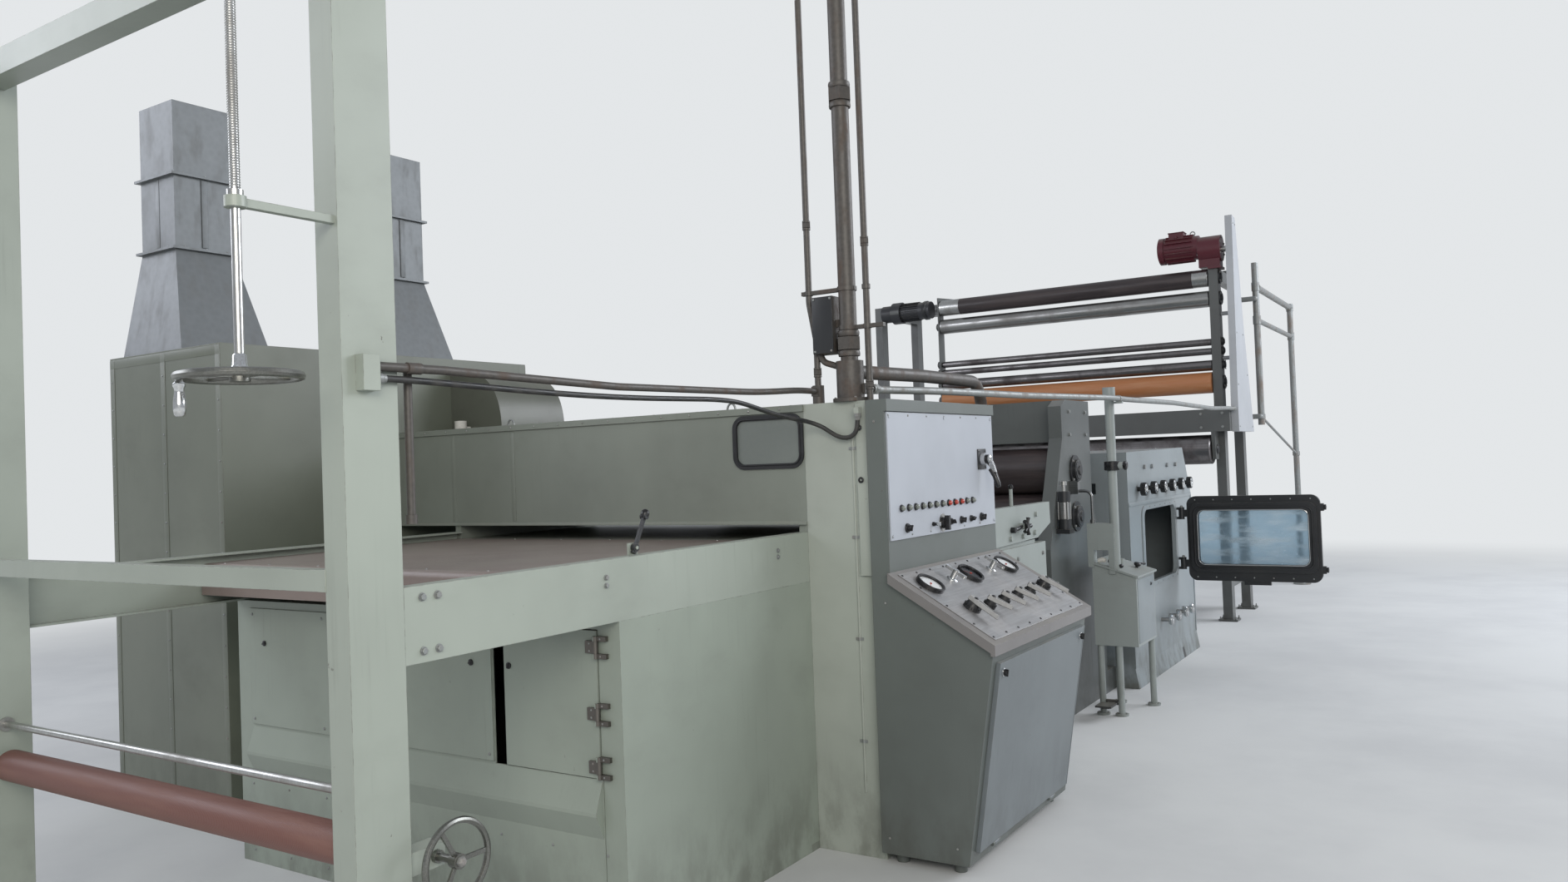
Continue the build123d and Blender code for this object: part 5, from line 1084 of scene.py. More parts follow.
def dressPlenum():
    left, near, _ = plenum["low"]
    right, far, top = plenum["high"]
    width = plenum["strip"]
    sheet = plenum["sheet"]
    inset = plenum["inset"]
    middle = (left + right) / 2
    columns = (left + inset, middle, right - inset)

    def strips(shape):
        lift = plenum["stripLift"]
        flat = plenum["bandLift"]
        band = plenum["band"]
        long = right - left - 2 * plenum["bandEnd"]
        short = far - near - 2 * plenum["bandEnd"]
        for side, y in ((-1, near), (1, far)):
            for x in columns:
                block(shape, (width, sheet, top - inset), (x, y + side * lift, top / 2), 0.6)
            for z in plenum["bands"]:
                block(shape, (long, sheet, band), (middle, y + side * flat, z), 0.6)
        for z in plenum["bands"]:
            block(shape, (sheet, short, band), (left - flat, 0, z), 0.6)
        for y in plenum["endStrips"]:
            block(shape, (sheet, width, top - inset), (left - lift, y, top / 2), 0.6)

    makePiece("plenumStrips", strips, "sprayedEnamelPlenum")
    end = plenum["rivetEnd"]
    lift = plenum["rivetLift"]
    count = int((top - 2 * end) / plenum["rivetPitch"]) + 1
    rivets = []
    for x in columns:
        for y, way in ((near - lift, -axisY), (far + lift, axisY)):
            rivets += rowOf((x, y, end), (x, y, top - end), count, way)
    for y in plenum["endStrips"]:
        rivets += rowOf((left - lift, y, end), (left - lift, y, top - end), count, -axisX)
    scatter("plenumRivets", rivets, turnedOf(plenum["rivet"], 12))
    half = plenum["ductHalf"]
    reach = plenum["ductBolts"]
    bolts = []
    for x, y in plenum["ducts"]:
        for z in plenum["ductFlanges"]:
            for side in (-half, half):
                bolts += rowOf((x - reach, y + side, z), (x + reach, y + side, z), 3, axisZ)
                bolts += rowOf((x + side, y - reach, z), (x + side, y + reach, z), 3, axisZ)
    scatter("ductBolts", bolts, boltOf(6))

    def stiffeners(shape):
        z, height = plenum["stiffener"]
        wide = plenum["stiffenerWidth"]
        across, front = plenum["stiffenerInset"]
        for x, y in plenum["ducts"]:
            for side in (-1, 1):
                block(shape, (sheet, wide, height), (x + side * (half - across), y, z), 0.6)
            block(shape, (wide, sheet, height), (x, y - half + front, z), 0.6)

    makePiece("ductStiffeners", stiffeners, "dippedZincDuct")


# Cable post: grommets, trim screws, line clips and the glands at the ends of the cable
post = {
    "trimFace": (1303, -17),
    "grommets": (1726, 1680, 1475),
    "grommet": [(5, 0), (9, 0), (12, 0.6), (12, 2.6), (9, 4.6), (6, 4.6), (5, 3), (5, 0)],
    "trim": ((1336, -14, 1130), (1336, -14, 1690), 8),
    "gland": (1304, -27, 1735),
    "entryGland": (1054, -2060, 1802),
    "glandNut": [(9.2, 0), (15, 0), (15, 12), (12.5, 15), (12.5, 21), (10, 26), (9.2, 26)],
    "line": 1262,
    "clips": (450, 850, 1250, 1600),
    "clip": (34, 3, 12),
    "clipRing": [(7.5, -6), (7.5, 6), (5.2, 6), (5.2, -6)],
}


def dressPost():
    rings = [frameTo((*post["trimFace"], z), -axisY) for z in post["grommets"]]
    scatter("postGrommets", rings, turnedOf(post["grommet"], 22), "mouldedBlackRubber")
    scatter("trimScrews", rowOf(*post["trim"], -axisY), screwOf(4))
    scatter("cableGland", frameTo(post["gland"], -axisZ), turnedOf(post["glandNut"], 6))
    scatter("cableGlandEntry", frameTo(post["entryGland"], axisY), turnedOf(post["glandNut"], 12))

    def clips(shape):
        for z in post["clips"]:
            spot = Vector((post["line"], 0, z))
            block(shape, post["clip"], spot - axisY * post["clip"][1] / 2, 0.8)
            turned(shape, post["clipRing"], Matrix.Translation(spot), 20)

    makePiece("lineClips", clips, "dippedZincBolts")


# Pipes: unions, straps, the casting's bolts and the lid of the junction box
pipes = {
    "depth": 45,
    "wideUnions": ((1238, 2020, 35), (1238, 3020, 35)),
    "thinUnions": ((1325, 1850, 13), (1325, 2420, 13), (1060, 2520, 13), (1088, 1915, 13)),
    "union": [(1.0, -1.5), (1.22, -1.45), (1.26, -1.2), (1.22, -0.9), (1.16, -0.8), (1.0, -0.8)],
    "unionNut": [(1.0, -0.8), (1.42, -0.72), (1.42, 0.72), (1.0, 0.8)],
    "straps": ((1060, 2240, 13), (1238, 2240, 35), (1238, 2083, 35), (1325, 2083, 13), (1325, 2240, 13)),
    "strapSheet": 4,
    "strapHalf": 9,
    "casting": (1238, 45, 1787),
    "collar": [(55, 0), (72, 0), (72, 14), (55, 16)],
    "collarBolts": (14, 64),
    "supply": ((1290, 150, 1838), (1470, 6500, 1884)),
    "supplyRadius": 16,
    "lid": (1142, 5.5, 2100),
    "lidSize": (94, 4, 228),
    "lidScrews": (38, 105),
}


def unionOf(radius):
    def build(shape, place):
        for flip in (-1, 1):
            turned(shape, [(radius * reach, flip * radius * rise) for reach, rise in pipes["union"]], place)
        turned(shape, [(radius * reach, radius * rise) for reach, rise in pipes["unionNut"]], place, 6)

    return build


def dressPipes():
    y = pipes["depth"]

    def unions(shape):
        for x, z, radius in pipes["wideUnions"] + pipes["thinUnions"]:
            unionOf(radius)(shape, Matrix.Translation((x, y, z)))
        turned(shape, pipes["collar"], Matrix.Translation(pipes["casting"]), 32)

    makePiece("riserUnions", unions, "paintedPipe", slot="galvanised")
    rise, circle = pipes["collarBolts"]
    flange = ringOf(Vector(pipes["casting"]) + axisZ * rise, axisZ, circle, 4)
    scatter("castingBolts", flange, boltOf(6))
    lid = blockOf(pipes["lidSize"], 1.2)
    scatter("boxLid", Matrix.Translation(pipes["lid"]), lid, "sprayedEnamelBlack")
    x, middle, z = pipes["lid"]
    front = middle - pipes["lidSize"][1] / 2
    across, up = pipes["lidScrews"]
    corners = []
    for dx in (-across, across):
        corners += [frameTo((x + dx, front, z + dz), -axisY, dz) for dz in (-up, up)]
    scatter("boxScrews", corners, screwOf(5))

    def straps(shape):
        half = pipes["strapHalf"]
        for x, z, radius in pipes["straps"]:
            outer = radius + pipes["strapSheet"]
            band = [(radius, -half), (outer, -half), (outer, half), (radius, half)]
            turned(shape, band, Matrix.Translation((x, y, z)), 28)

    makePiece("riserStraps", straps, "paintedPipe", slot="galvanised")
    supply = [frameTo(spot, axisY) for spot in pipes["supply"]]
    scatter("supplyUnions", supply, unionOf(pipes["supplyRadius"]), "dippedZincSupply", slot="galvanised")


# Desk slab: its rim screws, the bezels, dials and needles of its meters, and the cocks' rosettes
desk = {
    "length": 1080,
    "margin": 36,
    "endMargin": 40,
    "meters": (125, 515, 910),
    "darkMeter": 515,
    "meterDown": 122,
    "bezel": [(48, 13.5), (50.5, 17), (57, 18.5), (60, 15), (60, 0), (57.3, 0), (57.3, 13.5), (48, 13.5)],
    "dial": [(0, 9), (49.5, 9), (49.5, 7)],
    "scale": (225, -45, 41),
    "markLengths": (3.6, 7),
    "markSection": (0.9, 0.3),
    "markRim": 43,
    "markLift": 9.2,
    "needles": ((125, 205), (515, 140), (910, 190)),
    "needle": (46, 1.3, 0.5),
    "needleSpot": (13, 0, 10.6),
    "needlePin": [(0, 13), (4, 12.5), (4.5, 9)],
    "cocks": (345, 755),
    "cockDown": 118,
    "rosette": [(24, 0), (24, 2.5), (20, 5.5), (14, 7), (13.3, 7)],
}


# A frame on the slab, from its near end and its back edge
def onSlab(along, down, spin=0.0):
    spot = slabOrigin + axisY * along + slabDown * down + slabNormal * console["sheet"]
    return frameTo(spot, slabNormal, spin)


def dressDesk():
    length = desk["length"]
    end = desk["endMargin"]
    screws = []
    for step in range(9):
        along = end + (length - 2 * end) * step / 8
        for down in (desk["margin"], slabDepth - desk["margin"]):
            screws.append(onSlab(along, down, step * 1.7))
    for step in (1, 2, 3):
        screws += [onSlab(along, slabDepth * step / 4, step) for along in (end, length - end)]
    scatter("slabScrews", screws, screwOf(5), "mouldedBakelite")
    places = {along: onSlab(along, desk["meterDown"]) for along in desk["meters"]}
    scatter("meterBezels", places.values(), turnedOf(desk["bezel"], 48), "mouldedBakelite")
    pale = [place for along, place in places.items() if along != desk["darkMeter"]]
    scatter("meterDials", pale, turnedOf(desk["dial"], 48), "printedDial")
    scatter("meterDialDark", places[desk["darkMeter"]], turnedOf(desk["dial"], 48), "printedDarkDial")

    def marks(shape):
        first, last, count = desk["scale"]
        short, long = desk["markLengths"]
        for place in pale:
            for step in range(count):
                angle = math.radians(first + (last - first) * step / (count - 1))
                size = short if step % 5 else long
                turn = Matrix.Rotation(angle, 4, "Z")
                mark = moved(turn, desk["markRim"] - size / 2, 0, desk["markLift"])
                block(shape, (size, *desk["markSection"]), place @ mark)

    makePiece("dialMarks", marks, "mouldedBakelite")

    def needles(shape):
        for along, angle in desk["needles"]:
            turn = Matrix.Rotation(math.radians(angle), 4, "Z")
            block(shape, desk["needle"], places[along] @ moved(turn, *desk["needleSpot"]))
            turned(shape, desk["needlePin"], places[along], 16)

    makePiece("dialNeedles", needles, "redAcrylic", slot="bakelite")
    cocks = [onSlab(along, desk["cockDown"]) for along in desk["cocks"]]
    scatter("cockRosettes", cocks, turnedOf(desk["rosette"], 32), "platedChrome")


# Lever handles: the crown on each skirt, its grip ribs and the dark line on its pointer
levers = {
    "lever_1": {"along": 172, "down": 296, "length": 116, "turn": -12},
    "lever_2": {"along": 312, "down": 312, "length": 84, "turn": 22},
    "lever_3": {"along": 460, "down": 312, "length": 84, "turn": 22},
    "lever_4": {"along": 608, "down": 312, "length": 84, "turn": 22},
    "lever_5": {"along": 756, "down": 312, "length": 84, "turn": 22},
    "lever_6": {"along": 958, "down": 300, "length": 108, "turn": 10},
}
leverHead = {
    "top": 44.2,
    "shortest": 84,
    "skirt": 27,
    "skirtGrowth": 0.3,
    "crown": [(0, 4), (6, 3.6), (9.5, 1.5), (10, 0)],
    "ribs": 20,
    "rib": (3, 4, 14),
    "ribSink": 0.93,
    "ribRise": 8,
    "lineEnds": (14, 12),
    "lineRadii": [1.6, 1.3, 0.8],
}


def dressLever(body, lever):
    length = lever["length"]
    skirt = leverHead["skirt"] + (length - leverHead["shortest"]) * leverHead["skirtGrowth"]
    base = onSlab(lever["along"], lever["down"])
    angle = math.radians(lever["turn"] - 90)
    pointer = axisY * math.cos(angle) - slabDown * math.sin(angle)
    head = base.translation + slabNormal * leverHead["top"]

    def crown(shape):
        turned(shape, leverHead["crown"], frameTo(head, slabNormal))
        for spoke in spokes(base, leverHead["ribs"], skirt * leverHead["ribSink"], 0, leverHead["ribRise"]):
            block(shape, leverHead["rib"], spoke, 1)

    makePiece(f"{body}_crown", crown, "mouldedBakelite", body)

    def line(shape):
        start, end = leverHead["lineEnds"]
        spots = [head + pointer * reach for reach in (start, length / 2, length - end)]
        tubeAlong(shape, spots, leverHead["lineRadii"], 8)

    makePiece(f"{body}_line", line, "mouldedBakelite", body)


def dressLevers():
    for body, lever in levers.items():
        dressLever(body, lever)


# Switchboard: lamps, switches, the selector's plate, the main switch and the panel's screws
board = {
    "face": 1431,
    "lamps": ((1431, 67, 1358), (1431, 767, 1358), 12),
    "redLamps": (7, 8, 9),
    "lampBezel": [(14.2, 0), (15, 0), (15, 3.4), (13.4, 6.6), (10.6, 6.8), (10.2, 5)],
    "lampCap": [(10.3, 4), (10.3, 13), (8.6, 16), (5, 18), (0, 18.6)],
    "switchHeight": 1278,
    "switches": ((111, 17), (530, 13), (639, 15), (745, 13), (862, 17)),
    "switchLift": 8,
    "switchSkirt": [(1.12, -8), (1.12, -5), (1.02, -3), (0.9, -3)],
    "switchCap": [(0.72, 0), (0.72, 10), (0.6, 13), (0, 13.4)],
    "switchBar": (1.5, 0.34, 8),
    "switchBarLift": 13.5,
    "keySwitch": 351,
    "keyLift": 20,
    "key": (3, 16, 16),
    "keyRing": [(6, 0), (6, 3), (0, 3)],
    "selector": 449,
    "selectorPlate": [(25, 0), (38, 0), (38, 1.2), (25, 1.2)],
    "screwRows": (1251, 1723),
    "screws": ((1431, -16, 0), (1431, 1016, 0), 7),
    "mainSwitch": (890, 1537),
    "mainPlate": (92, 92, 5),
    "plateScrew": 36,
    "hubCap": [(20.2, -6), (18, 2), (10, 5), (0, 6)],
    "hubRise": 44.5,
    "grip": ((1473, 1492), (1494, 1460), (1506, 1425), (1511, 1408)),
    "gripRadii": (11, 12.5, 13, 9),
}


def dressBoard():
    face = board["face"]
    lamps = rowOf(*board["lamps"], axisX)
    scatter("lampBezels", lamps, turnedOf(board["lampBezel"], 28), "mouldedBakelite")
    red = [place for index, place in enumerate(lamps) if index in board["redLamps"]]
    clear = [place for index, place in enumerate(lamps) if index not in board["redLamps"]]
    scatter("redLamps", red, turnedOf(board["lampCap"]), "redAcrylic", slot="lamp_lens")
    scatter("clearLamps", clear, turnedOf(board["lampCap"]), "clearAcrylic", slot="lamp_lens")
    height = board["switchHeight"]

    def switchCaps(shape):
        wide, narrow, tall = board["switchBar"]
        for along, radius in board["switches"]:
            place = frameTo((face + board["switchLift"], along, height), axisX, along)
            for outline, sides in ((board["switchSkirt"], 28), (board["switchCap"], 24)):
                turned(shape, [(radius * share, rise) for share, rise in outline], place, sides)
            bar = (radius * wide, radius * narrow, tall)
            block(shape, bar, moved(place, z=board["switchBarLift"]), 1.2)

    makePiece("switchCaps", switchCaps, "mouldedBakelite")

    def key(shape):
        place = frameTo((face + board["keyLift"], board["keySwitch"], height), axisX)
        block(shape, board["key"], moved(place, z=board["key"][2] / 2), 1)
        turned(shape, board["keyRing"], place, 20)

    makePiece("switchKey", key, "platedChrome")
    plate = frameTo((face, board["selector"], height), axisX)
    scatter("selectorPlate", plate, turnedOf(board["selectorPlate"], 40), "brushedStainless")
    scatter("boardScrews", rowsAt(2, board["screwRows"], *board["screws"], axisX), screwOf(4.5))
    along, height = board["mainSwitch"]
    hub = frameTo((face, along, height), axisX)

    def mainPlate(shape):
        thick = board["mainPlate"][2]
        reach = board["plateScrew"]
        block(shape, board["mainPlate"], moved(hub, z=thick / 2), 1.5)
        for across in (-reach, reach):
            for up in (-reach, reach):
                screwOf(4.5)(shape, moved(hub, across, up, thick))

    makePiece("mainSwitchPlate", mainPlate, "sprayedEnamelBlack", slot="bakelite")
    cap = frameTo((face + board["hubRise"], along, height), axisX)
    scatter("mainSwitchCap", cap, turnedOf(board["hubCap"], 28), "platedChrome", "main_switch")

    def grip(shape):
        tubeAlong(shape, [(x, along, z) for x, z in board["grip"]], board["gripRadii"], 16)

    makePiece("mainSwitchGrip", grip, "mouldedBakelite", "main_switch")


# Desk cabinet: folds along the door's ends, rings round its locks and screws in the side sheet
cabinet = {
    "lockRing": [(11.5, 0), (16, 0), (16, 2), (13, 3.4), (11.5, 3.4)],
    "locks": (450, 318.1),
    "fold": (8, 2),
    "foldInset": 5,
    "foldEnd": 2,
    "side": -40,
    "sideScrews": ((1380, 100), (1660, 100), (1380, 1700), (1400, 1000)),
}


def dressCabinet():
    width, height = console["door"]
    foot = Vector((console["doorFoot"][0], (console["near"] + console["far"]) / 2, console["doorFoot"][1]))
    middle = foot + frontUp * frontHeight / 2 + frontNormal * console["doorFace"]
    upright = Matrix((axisY, frontUp, axisY.cross(frontUp))).transposed().to_4x4()

    def folds(shape):
        wide, thick = cabinet["fold"]
        for side in (-1, 1):
            spot = middle + axisY * side * (width / 2 - cabinet["foldInset"])
            size = (wide, height - 2 * cabinet["foldEnd"], thick)
            block(shape, size, Matrix.Translation(spot) @ upright, 0.8)

    makePiece("doorFolds", folds, "shadedEnamelDeskDoor", "cabinet_door")
    along, up = cabinet["locks"]
    spots = [middle + axisY * side * along + frontUp * up for side in (-1, 1)]
    locks = [frameTo(spot, frontNormal) for spot in spots]
    scatter("doorLockRings", locks, turnedOf(cabinet["lockRing"]), "platedChrome", "cabinet_door")
    side = [frameTo((x, cabinet["side"], z), -axisY, x) for x, z in cabinet["sideScrews"]]
    scatter("sideScrews", side, screwOf(5))


# Squeezer and padder: bearing bolts and caps, the star handle, the valve's tap and the frame's bolts
padder = {
    "bearings": (1164.85, 1445.15),
    "bearingDepth": 2815,
    "flange": 1242,
    "hub": 1260,
    "boltCircle": 79,
    "cap": [(58, 0), (56, 4), (34, 6), (30, 14), (0, 16)],
    "star": (1394, 1525, 1190),
    "starHub": [(16, -4), (18, 0), (18, 14), (0, 16)],
    "starArm": ((12, 7), (30, 7), (44, 11)),
    "starLift": 6,
    "tap": (1360, 1408, 1178),
    "tapHub": [(15, 0), (15, 20), (11, 24), (0, 25)],
    "tapLever": ((14, 0, 0), (16, 60, 6), (18, 104, 14)),
    "tapRadii": (9, 11, 7),
    "rodTop": (1340, 1470, 1388),
    "rodKnob": [(9.3, -8), (13, -4), (13, 8), (8, 14), (0, 15)],
    "plateFace": 1360,
    "plateBolts": (1100, 1480, 1840),
    "plateRows": (200, 1030),
    "cheekFace": 1230,
    "cheekBolts": ((2420, 3230, 350, 800), (2750, 3060, 1800, 1660)),
    "cylinder": (1270, 2485),
    "tieRods": (1166, 1268),
    "tieRadius": 4,
    "tieSpread": 27,
}


def dressPadder():
    bolts = []
    caps = []
    plate = []
    cheek = []
    for side in (-1, 1):
        way = axisX * side
        for z in padder["bearings"]:
            y = padder["bearingDepth"]
            bolts += ringOf((side * padder["flange"], y, z), way, padder["boltCircle"], 4)
            caps.append(frameTo((side * padder["hub"], y, z), way))
        for z in padder["plateRows"]:
            plate += [frameTo((side * padder["plateFace"], y, z), way, y) for y in padder["plateBolts"]]
        face = side * padder["cheekFace"]
        for near, far, first, second in padder["cheekBolts"]:
            for y in (near, far):
                cheek += [frameTo((face, y, z), way, y + z) for z in (first, second)]
    scatter("bearingBolts", bolts, boltOf(9))
    scatter("bearingCaps", caps, turnedOf(padder["cap"], 36), "sprayedEnamelBlack", slot="bright_steel")
    scatter("plateBolts", plate, boltOf(11))
    scatter("cheekBolts", cheek, boltOf(13))

    def star(shape):
        place = frameTo(padder["star"], axisX)
        turned(shape, padder["starHub"], place)
        reaches, radii = zip(*padder["starArm"])
        for step in range(5):
            angle = math.tau * step / 5
            arm = Vector((math.cos(angle), math.sin(angle), 0))
            spots = [place @ (arm * reach + axisZ * padder["starLift"]) for reach in reaches]
            tubeAlong(shape, spots, radii, 12)

    makePiece("starHandle", star, "mouldedBakelite")

    def tap(shape):
        start = Vector(padder["tap"])
        turned(shape, padder["tapHub"], frameTo(start, axisX), 20)
        spots = [start + Vector(step) for step in padder["tapLever"]]
        tubeAlong(shape, spots, padder["tapRadii"], 12)

    makePiece("plateValve", tap, "mouldedBakelite")
    scatter("rodKnob", frameTo(padder["rodTop"], axisZ), turnedOf(padder["rodKnob"], 20), "mouldedBakelite")

    def tieRods(shape):
        x, y = padder["cylinder"]
        low, high = padder["tieRods"]
        spread = padder["tieSpread"]
        for side in (-1, 1):
            for dx in (-spread, spread):
                for dy in (-spread, spread):
                    foot = Vector((side * x + dx, y + dy, low))
                    tubeAlong(shape, [foot, foot + axisZ * (high - low)], padder["tieRadius"])

    makePiece("cylinderTieRods", tieRods, "drawnBrightSteel", slot="bright_steel")


# Pedestal: knobs and lever on its lid, the lock and panel of its front, the hand bracket's grip and
# the clamp on its pole
pedestal = {
    "lid": ((1351, 890), (1605, 813)),
    "lidKnobs": ((1500, 2735), (1540, 2960)),
    "knobLift": 12,
    "lidKnob": [(9, 0), (9, 8), (17, 12), (21, 19), (21, 27), (15, 32), (0, 33)],
    "lidLever": ((0, 0, 18), (24, 34, 22), (34, 58, 20)),
    "leverRadii": (6, 6, 8),
    "lock": (1605, 3010, 745),
    "panel": (1606, 2900, 610),
    "panelSize": (3, 360, 370),
    "grip": ((1384, 2722, 905), (1404, 2720, 912), (1428, 2716, 908)),
    "gripRadii": (13, 15, 12),
    "gripKnob": (1452, 2714, 905),
    "gripKnobShape": [(0, -8), (8, -8), (15, 0), (15, 8), (9, 14), (0, 15)],
    "clamp": (1557, 2730, 1465),
    "clampKnob": [(20, -6), (26, 0), (26, 12), (20, 18), (0, 19)],
    "clampSpot": (1485, 2730, 1465),
    "clampRing": [(39, -27), (44, -25), (44, 25), (39, 27)],
    "legs": ((1376, 2725), (1485, 2725), (1376, 3075), (1580, 3075)),
    "footTop": 12,
    "footBolts": 27,
    "saddle": (1541, 2730, 1858),
    "strap": [(16.2, -11), (19.5, -11), (19.5, 11), (16.2, 11)],
}


def dressPedestal():
    (back, high), (front, low) = pedestal["lid"]
    fall = (high - low) / (front - back)
    normal = Vector((fall, 0, 1)).normalized()
    lift = pedestal["knobLift"]
    spots = [Vector((x, y, high - (x - back) * fall + lift)) for x, y in pedestal["lidKnobs"]]
    knobs = [frameTo(spot, normal) for spot in spots]
    scatter("lidKnobs", knobs, turnedOf(pedestal["lidKnob"]), "mouldedBakelite")

    def lever(shape):
        rod = [spots[1] + Vector(step) for step in pedestal["lidLever"]]
        tubeAlong(shape, rod, pedestal["leverRadii"], 12)

    makePiece("lidLever", lever, "mouldedBakelite")
    scatter("pedestalLock", frameTo(pedestal["lock"], axisX, 0.4), quarterTurn, "mouldedBakelite")
    panel = blockOf(pedestal["panelSize"], 1.2)
    scatter("pedestalPanel", Matrix.Translation(pedestal["panel"]), panel, "sprayedEnamelWasher")

    def grip(shape):
        tubeAlong(shape, pedestal["grip"], pedestal["gripRadii"], 14)

    makePiece("handGrip", grip, "mouldedWhite", slot="bakelite")
    knob = frameTo(pedestal["gripKnob"], axisX)
    scatter("handKnob", knob, turnedOf(pedestal["gripKnobShape"]), "mouldedBakelite")

    def clamp(shape):
        turned(shape, pedestal["clampKnob"], frameTo(pedestal["clamp"], axisX), 8)
        turned(shape, pedestal["clampRing"], Matrix.Translation(pedestal["clampSpot"]), 32)

    makePiece("poleClamp", clamp, "mouldedBakelite")
    top = pedestal["footTop"]
    reach = pedestal["footBolts"]
    feet = []
    for x, y in pedestal["legs"]:
        feet += rowOf((x - reach, y, top), (x + reach, y, top), 2, axisZ)
    scatter("pedestalFeetBolts", feet, boltOf(6))
    scatter("saddleStrap", frameTo(pedestal["saddle"], axisY), turnedOf(pedestal["strap"], 28))


# Washing tank: what closes its knobs, its small valve wheels, hatch screws, cover strips and roof bolts
washer = {
    "knobs": ((1418, 3730, 1290), (1418, 5032, 1290), 6),
    "knobFace": [(34, -1), (34, 2), (30, 4), (14, 4.5), (12, 0)],
    "valves": ((1440, 4205, 355), (1440, 4418, 355), (1440, 4639, 355), (1440, 4824, 355)),
    "valveWheel": [(34.5, -22), (37, -16), (37, -6), (33, -1), (18, 1), (12, 5), (0, 6)],
    "hatch": ((1368, 3840, 0), (1368, 4680, 0), 7),
    "hatchRows": (624.5, 1161.5),
    "stripFace": 1361,
    "longStrip": (6, 1740, 26),
    "longStripSpot": (4360, 1195),
    "ends": (3500, 5223),
    "endHeight": 660,
    "endStrip": (6, 22, 1060),
    "roof": ((-1200, 0, 1556), (1200, 0, 1556), 9),
    "roofRows": (3540, 4860),
}


def dressWasher():
    knobs = rowOf(*washer["knobs"], axisX)
    scatter("valveKnobFaces", knobs, turnedOf(washer["knobFace"], 40), "platedChrome")
    scatter("valveKnobNuts", knobs, boltOf(8), "platedChrome")
    valves = [frameTo(spot, axisX) for spot in washer["valves"]]
    scatter("lowerValveWheels", valves, turnedOf(washer["valveWheel"], 30), "platedChrome")
    scatter("hatchScrews", rowsAt(2, washer["hatchRows"], *washer["hatch"], axisX), screwOf(5))

    def strips(shape):
        face = washer["stripFace"]
        block(shape, washer["longStrip"], (face, *washer["longStripSpot"]), 1.2)
        for y in washer["ends"]:
            block(shape, washer["endStrip"], (face, y, washer["endHeight"]), 1.2)

    makePiece("washerStrips", strips, "sprayedEnamelWasher")
    scatter("roofBolts", rowsAt(1, washer["roofRows"], *washer["roof"], axisZ), boltOf(9))


# Inspection door: its seal, the beads round its pane, catch knobs, hinge caps and screws
inspectionDoor = {
    "middle": (1890, 893),
    "sealDepth": 4717.5,
    "sealHalf": (398, 223),
    "sealCorner": 52,
    "seal": 7,
    "beadDepths": (4720.5, 4776.8),
    "beadHalf": (374, 199),
    "beadCorner": 46,
    "bead": 3.4,
    "catches": ((2351, 4756, 665), (2351, 4756, 1105)),
    "catchKnob": [(13, -10), (13, 8), (19, 12), (19, 26), (0, 29)],
    "hinges": ((1400, 4750, 744), (1400, 4750, 1114)),
    "hingeCap": [(13, 0), (13, 3), (10.5, 5), (10.5, 10), (7, 14), (0, 15)],
    "screwRows": (602, 1168),
    "screwSpan": (1500, 2280),
    "faces": (4736.3, 4776.3),
}


def dressInspectionDoor():
    x, z = inspectionDoor["middle"]

    def seal(shape):
        middle = (x, inspectionDoor["sealDepth"], z)
        loop = roundedLoop(middle, inspectionDoor["sealHalf"], inspectionDoor["sealCorner"])
        tubeAlong(shape, loop, inspectionDoor["seal"], 12, closed=True)

    makePiece("doorSeal", seal, "mouldedBlackRubber", "hatch_door")

    def beads(shape):
        for y in inspectionDoor["beadDepths"]:
            loop = roundedLoop((x, y, z), inspectionDoor["beadHalf"], inspectionDoor["beadCorner"])
            tubeAlong(shape, loop, inspectionDoor["bead"], 10, closed=True)

    makePiece("paneBead", beads, "platedChrome", "hatch_door", "black_rubber")
    catches = [frameTo(spot, axisX) for spot in inspectionDoor["catches"]]
    knob = turnedOf(inspectionDoor["catchKnob"], 20)
    scatter("doorLatchKnobs", catches, knob, "mouldedBakelite", "hatch_door")
    hinges = [frameTo(spot, axisZ) for spot in inspectionDoor["hinges"]]
    scatter("hingePinCaps", hinges, turnedOf(inspectionDoor["hingeCap"], 20))
    screws = []
    inner, outer = inspectionDoor["faces"]
    first, last = inspectionDoor["screwSpan"]
    for height in inspectionDoor["screwRows"]:
        for face, way in ((outer, axisY), (inner, -axisY)):
            screws += rowOf((first, face, height), (last, face, height), 7, way)
    scatter("doorScrews", screws, screwOf(5.5), "dippedZincBolts", "hatch_door")


# Roller tower: bearing bolts and caps, anchors, beam bolts, guard screws and the left drive's fins
tower = {
    "bearingFace": 1374,
    "bearingDepth": 6710,
    "wideBearings": (3080, 2890, 2290, 2135),
    "narrowBearings": (2500, 2417),
    "wideCap": [(36, 0), (36, 7), (28, 11), (0, 12)],
    "narrowCap": [(26, 0), (26, 7), (20, 10), (0, 11)],
    "boltCircle": 50,
    "nips": (1310, 6560, 1535),
    "nipCap": [(42, 0), (42, 6), (34, 12), (32, 15), (0, 16)],
    "legs": ((1320, 6710), (1320, 7560), (-2050, 6710), (-2050, 7560)),
    "anchors": (66, 62, 16),
    "beamFace": 6470,
    "beamBolts": (-1900, -1300, 1200, 1380),
    "beamRows": (1730, 1850),
    "guardFace": 1500,
    "guardScrews": (
        (6600, 1730),
        (7200, 1730),
        (6920, 2560),
        (6640, 2560),
        (6680, 3540),
        (6770, 3540),
        (7050, 2200),
        (6610, 2100),
    ),
    "leftDrive": (-1700, 6710, 3080),
    "fins": 24,
    "fin": (12, 3, 220),
    "finReach": 92,
    "driveEnd": [(92, 160), (98, 170), (98, 200), (70, 215), (70, 160)],
}


